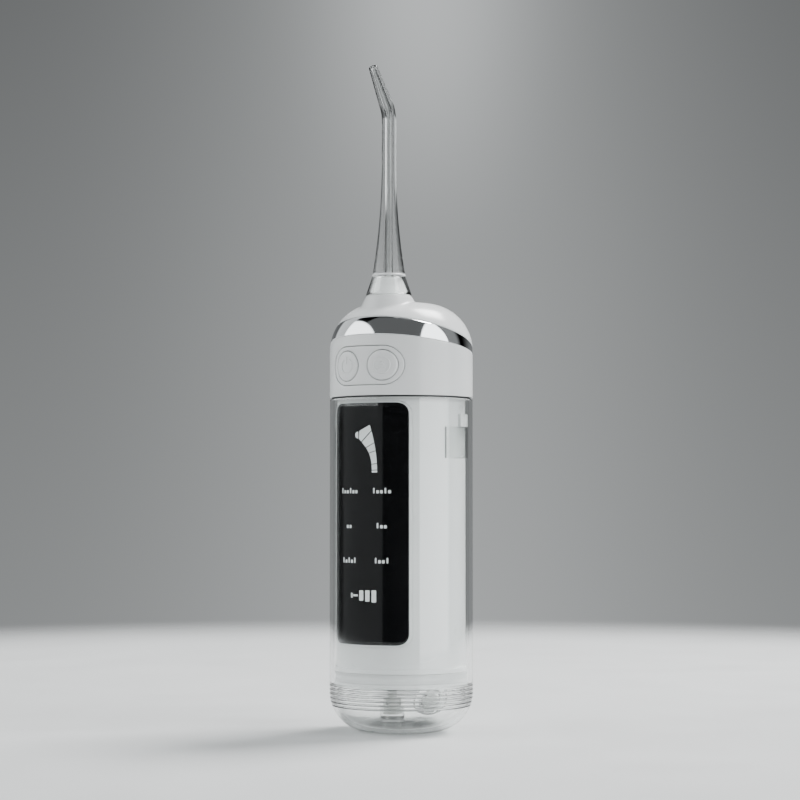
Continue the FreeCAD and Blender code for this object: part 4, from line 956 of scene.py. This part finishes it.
def make_nozzle():
    """The clear nozzle, from its stem's foot over the outside to the tip and back through the bore."""
    tip_start = BEND_START + BEND_RADIUS * math.radians(BEND_ANGLE)
    tip = tip_start + TIP_LENGTH
    skirt = NECK_TOP + 0.3
    seal, catch, groove = STEM_LOW + 0.8, CATCH_LOW - 0.2, STEM - 0.6
    rows = [(STEM_LOW, BORE_NOZZLE), (STEM_LOW, STEM - 0.2), (STEM_LOW + 0.2, STEM)]
    for start, wide in ((seal, 1.0), (catch, 1.7)):
        rows += [(start, STEM), (start, groove), (start + wide, groove), (start + wide, STEM)]
    rows += [(RING_HEIGHT - 0.8, STEM), (RING_HEIGHT - 0.8, RING - 0.8)]
    rows += [(skirt, NECK - 0.55), (skirt, NECK - 0.25), (skirt + 0.06, NECK - 0.12), (skirt + 0.2, NECK - 0.08)]
    cone_start, cone_foot, cone_top = skirt + 0.2, NECK - 0.08, RING_HEIGHT - 0.35
    for t in np.linspace(0, 1, 8)[1:]:
        rows.append((cone_start + (cone_top - cone_start) * t, cone_foot + (RING + 0.1 - cone_foot) * t))
    flare = cone_top + 0.7
    rows += [(cone_top, RING - 0.6), (flare, RING - 0.6), (flare, RING)]
    for t in np.linspace(0, 1, 26)[1:]:
        rows.append((flare + (TUBE_START - flare) * t, TUBE + (RING - TUBE) * (1 - t) ** 2))
    rows += [(h, TUBE) for h in np.linspace(TUBE_START, BEND_START, 6)[1:]]
    rows += [(h, TUBE) for h in np.linspace(BEND_START, tip_start, 14)[1:]]
    end, mouth = 0.3, 0.9
    for t in np.linspace(0, 1, 12)[1:]:
        rows.append((tip_start + (TIP_LENGTH - end) * t, TUBE + (TIP - TUBE) * t))
    rows += [(tip - drop, TIP - inset) for drop, inset in rounding(end, 5)[1:]]
    rows += [(tip, JET + 0.3), (tip - 0.12, JET + 0.12), (tip - mouth, JET)]
    for t in np.linspace(0, 1, 8)[1:]:
        rows.append((tip - mouth - (TIP_LENGTH - mouth) * t, JET + (BORE_NOZZLE - JET) * t))
    rows += [(h, BORE_NOZZLE) for h in np.linspace(tip_start, BEND_START, 14)[1:]]
    rows += [(h, BORE_NOZZLE) for h in np.linspace(BEND_START, STEM_LOW, 12)[1:-1]]
    mesh = Mesh()
    mesh.loft(swept(rows), closed=True)
    mesh.piece("nozzle_body", "nozzle", "clear_nozzle", ["nozzle_tube"], corner=40)
    band = Mesh()
    low, high, inner = RING_HEIGHT - 0.35, RING_HEIGHT + 0.35, RING - 0.55
    section = [(low, inner), (low, RING + 0.02), (low + 0.12, RING + 0.14), (high - 0.12, RING + 0.12)]
    section += [(high, RING), (high, inner)]
    band.loft(swept(section), closed=True)
    band.piece("nozzle_band", "nozzle", "white_gloss", ["nozzle_ring"])


# ---------- marks on the window


def make_marks():
    """Light marks on the window: a level gauge of curved bars, two columns of setting signs and a battery."""
    mesh = Mesh()
    face = cylinder_face(WINDOW_FACE)

    def patch(left, right, columns=9):
        """A thin mark between two edges that run from bottom to top."""
        left, right = np.array(left, float), np.array(right, float)
        share = np.linspace(0, 1, columns)[None, :, None]
        flat = left[:, None] * (1 - share) + right[:, None] * share
        rims = []
        for depth in (-MARK_RISE, 0.02):
            grid = mesh.add(face(flat.reshape(-1, 2), depth).reshape(len(flat), columns, 3))
            mesh.sheet(grid, ring_columns=False)
            rims.append(whole_rim(grid))
        mesh.bridge(*rims)

    def bar(x, z, half_x, half_z, radius=0.2):
        corner = 0.9 * min(radius, half_x, half_z)
        lower = [(half_x - inset, -half_z + height) for inset, height in rounding(corner, 4)]
        edge = lower + [(reach, -height) for reach, height in lower[::-1]]
        patch(*([(x + side * reach, z + height) for reach, height in edge] for side in (-1, 1)))

    gauge(patch)
    for row, height in enumerate(SIGN_HEIGHTS):
        for column, x in enumerate((-6.1, 5.6)):
            sign(bar, row * 2 + column, x, height)
    battery(bar)
    mesh.piece("window_marks", "handle", "mark_white")


def gauge(patch):
    """A level gauge: blocks between two bowed edges, which lean apart towards the top, and a round end."""
    low, gap = GAUGE_LOW, 0.22

    def right(rise):
        return 4.25 - 0.0108 * rise**2

    def left(rise):
        return 2.53 - 0.0039 * rise**3

    joints = [(0.0, 0.0), (0.9, 0.8), (2.9, 2.7), (6.9, 6.2), (9.4, 7.9), (13.1, 9.7)]
    for (right_low, left_low), (right_high, left_high) in zip(joints, joints[1:]):
        rights = [(right(h), low + h) for h in np.linspace(right_low + gap, right_high, 5)]
        lefts = [(left(h), low + h) for h in np.linspace(left_low + gap, left_high, 5)]
        patch(lefts, rights)
    lefts = [(left(9.9), low + 9.95), (-2.1, low + 10.9), (-1.95, low + 13.3)]
    patch(lefts, [(right(h), low + h) for h in (13.4, 14.2, 15.1)])
    turn = np.linspace(math.pi, 0, 9)
    bow = [(-2.45 - 1.1 * math.sin(a), low + 12.0 + 1.1 * math.cos(a)) for a in turn]
    patch(bow, [(-2.4, low + 12.0 + 1.12 * math.cos(a)) for a in turn])


def sign(bar, number, x, z):
    """A setting's sign: a row of upright strokes and dots."""
    row = ("|..|..", "|..|.", "..", "|..", "|.|.|", "|..|")[number]
    shapes = {"|": (0.24, 0.85), ".": (0.42, 0.5)}
    pitch, drop = 1.2, 0.8
    for k, kind in enumerate(row):
        half_x, half_z = shapes[kind]
        bar(x + (k - (len(row) - 1) / 2) * pitch, z + half_z - drop, half_x, half_z)


def battery(bar):
    """A level sign: a dash and three bars."""
    x, z = 0.2, BATTERY_HEIGHT
    bar(x - 5.1, z, 0.35, 0.75)
    bar(x - 3.6, z, 0.9, 0.3)
    for k in range(3):
        bar(x - 1.4 + 2.2 * k, z - 0.1 * k, 0.75, 1.6 + 0.15 * k, 0.3)


# ---------- studio


# soft panels round the object: each one's limits to the right, away from the camera and upward, as parts of a
# unit direction, its brightness, and the softness of its edges
PANELS = [
    ((-2, -0.643), (-2, 0.375), (0.07, 2), 3.4, 0.02),
    ((0.5, 2), (-2, -0.12), (-0.14, 2), 4.2, 0.02),
    ((-2, -0.515), (-2, 0.375), (-0.14, 0.07), 0.16, 0.02),
    ((-2, 0), (0.375, 0.766), (0.07, 2), 0.8, 0.04),
    ((-0.643, 0.5), (-2, 0), (0.087, 2), 0.13, 0.02),
    ((0, 2), (-0.12, 0.3), (-0.14, 2), 0.3, 0.1),
]


def world():
    """A grey studio with a soft glow behind the object, and with panels that only light it and mirror in it."""
    made = bpy.data.worlds.new("studio")
    made.use_nodes = True
    bpy.context.scene.world = made
    tree = made.node_tree
    tree.nodes.clear()
    link = tree.links.new

    def math_node(kind, *terms):
        node = tree.nodes.new("ShaderNodeMath")
        node.operation = kind
        for socket, term in zip(node.inputs, terms):
            if isinstance(term, (int, float)):
                socket.default_value = term
            else:
                link(term, socket)
        return node.outputs[0]

    def times(first, second):
        return math_node("MULTIPLY", first, second)

    def plus(first, second):
        return math_node("ADD", first, second)

    def minus(first, second):
        return math_node("SUBTRACT", first, second)

    way = tree.nodes.new("ShaderNodeTexCoord").outputs["Generated"]
    parts = tree.nodes.new("ShaderNodeSeparateXYZ")
    link(way, parts.inputs[0])
    x, y, up = parts.outputs
    turn = math.radians(CAMERA_TURN)
    across = plus(times(x, math.cos(turn)), times(y, math.sin(turn)))
    ahead = minus(times(y, math.cos(turn)), times(x, math.sin(turn)))

    def ramp(value, start, end, low=0.0, high=1.0):
        """Rises smoothly from low to high while the value goes from start to end."""
        node = tree.nodes.new("ShaderNodeMapRange")
        node.interpolation_type = "SMOOTHSTEP"
        for socket, term in zip(list(node.inputs)[1:5], (start, end, low, high)):
            socket.default_value = term
        link(value, node.inputs["Value"])
        return node.outputs[0]

    def glow(width):
        offset = math_node("DIVIDE", minus(across, 0.012), width)
        bell = math_node("EXPONENT", times(times(offset, offset), -1.0))
        return times(bell, math_node("GREATER_THAN", ahead, 0.0))

    def within(value, low, high, soft):
        return times(ramp(value, low - soft, low + soft), minus(1.0, ramp(value, high - soft, high + soft)))

    level = math_node("MAXIMUM", minus(0.25, times(up, 0.42)), 0.14)
    beam = times(glow(0.045), ramp(up, 0.10, 0.24, 0.0, 0.30))
    backdrop = plus(plus(level, times(glow(0.115), 0.19)), beam)
    lamps_view = times(backdrop, ramp(ahead, 0.45, 0.90))
    for sideways, forward, upward, brightness, soft in PANELS:
        panel = brightness
        for value, limits in ((across, sideways), (ahead, forward), (up, upward)):
            panel = times(within(value, *limits, soft), panel)
        lamps_view = plus(lamps_view, panel)
    seen = tree.nodes.new("ShaderNodeLightPath").outputs["Is Camera Ray"]
    strength = plus(times(backdrop, seen), times(lamps_view, minus(1.0, seen)))
    shade = tree.nodes.new("ShaderNodeBackground")
    shade.inputs["Color"].default_value = (0.955, 0.99, 1.0, 1)
    link(strength, shade.inputs["Strength"])
    link(shade.outputs[0], tree.nodes.new("ShaderNodeOutputWorld").inputs["Surface"])


def floor():
    """A pale round floor whose rim fades into the backdrop."""
    radius, rings, columns = 1500.0, 24, 96
    points = [(0, 0, 0)]
    faces = []
    for ring in range(1, rings + 1):
        reach = radius * (ring / rings) ** 1.5
        around = [TAU * k / columns for k in range(columns)]
        points += [(reach * math.cos(a), reach * math.sin(a), 0) for a in around]
    for k in range(columns):
        faces.append((0, 1 + k, 1 + (k + 1) % columns))
        for ring in range(rings - 1):
            a, b = 1 + ring * columns, 1 + (ring + 1) * columns
            faces.append((a + k, b + k, b + (k + 1) % columns, a + (k + 1) % columns))
    mesh = bpy.data.meshes.new("floor")
    mesh.from_pydata([[c * MM for c in p] for p in points], [], faces)
    made = add_object("floor", mesh)
    shader = Shader("floor")
    shader.constants(Specular_IOR_Level=0.2)
    shader.tint(shader.noise(6), (0.72, 0.73, 0.73), (0.76, 0.77, 0.77))
    shader.polish(30, 0.45, 0.6)
    away = shader.node("ShaderNodeVectorMath", operation="DISTANCE")
    behind, fade_start, fade_end = 0.12, 0.28, 0.50  # in metres
    turn = math.radians(CAMERA_TURN)
    away.inputs[1].default_value = (-behind * math.sin(turn), behind * math.cos(turn), 0)
    shader.join(shader.where, away.inputs[0])
    fade = shader.node("ShaderNodeMapRange", interpolation_type="SMOOTHSTEP")
    fade.inputs["From Min"].default_value = fade_start
    fade.inputs["From Max"].default_value = fade_end
    shader.join(away.outputs["Value"], fade.inputs["Value"])
    shader.blend(fade.outputs["Result"], shader.node("ShaderNodeBsdfTransparent"))
    mesh.materials.append(shader.material)


def overhead():
    """The only lamp: a square one high up behind the object, aimed at it."""
    azimuth, distance, height, side, aim = math.radians(160), 400, 800, 300, 20
    lamp = bpy.data.lights.new("overhead", "AREA")
    lamp.shape = "RECTANGLE"
    lamp.size = lamp.size_y = side * MM
    lamp.energy = 12
    made = add_object("overhead", lamp)
    made.location = Vector((distance * math.sin(azimuth), -distance * math.cos(azimuth), height)) * MM
    towards = Vector((0, 0, aim * MM)) - made.location
    made.rotation_euler = towards.to_track_quat("-Z", "Y").to_euler()


def camera():
    lens = bpy.data.cameras.new("camera")
    lens.lens, lens.sensor_width = 95.0, 36.0
    made = add_object("camera", lens)
    turn, pitch = math.radians(CAMERA_TURN), math.radians(CAMERA_PITCH)
    made.location = Vector((CAMERA_AWAY * math.sin(turn), -CAMERA_AWAY * math.cos(turn), CAMERA_HEIGHT)) * MM
    yaw = turn + math.radians(CAMERA_YAW)
    ahead = Vector((-math.sin(yaw) * math.cos(pitch), math.cos(yaw) * math.cos(pitch), math.sin(pitch)))
    made.rotation_euler = ahead.to_track_quat("-Z", "Y").to_euler()
    lens.clip_start, lens.clip_end = 0.01, 100.0
    bpy.context.scene.camera = made


dress_cad()
make_band()
make_trim()
make_cap()
make_window()
make_key_plate()
make_keys()
make_housing()
make_tank()
make_bush()
make_nozzle()
make_marks()
world()
floor()
overhead()
camera()
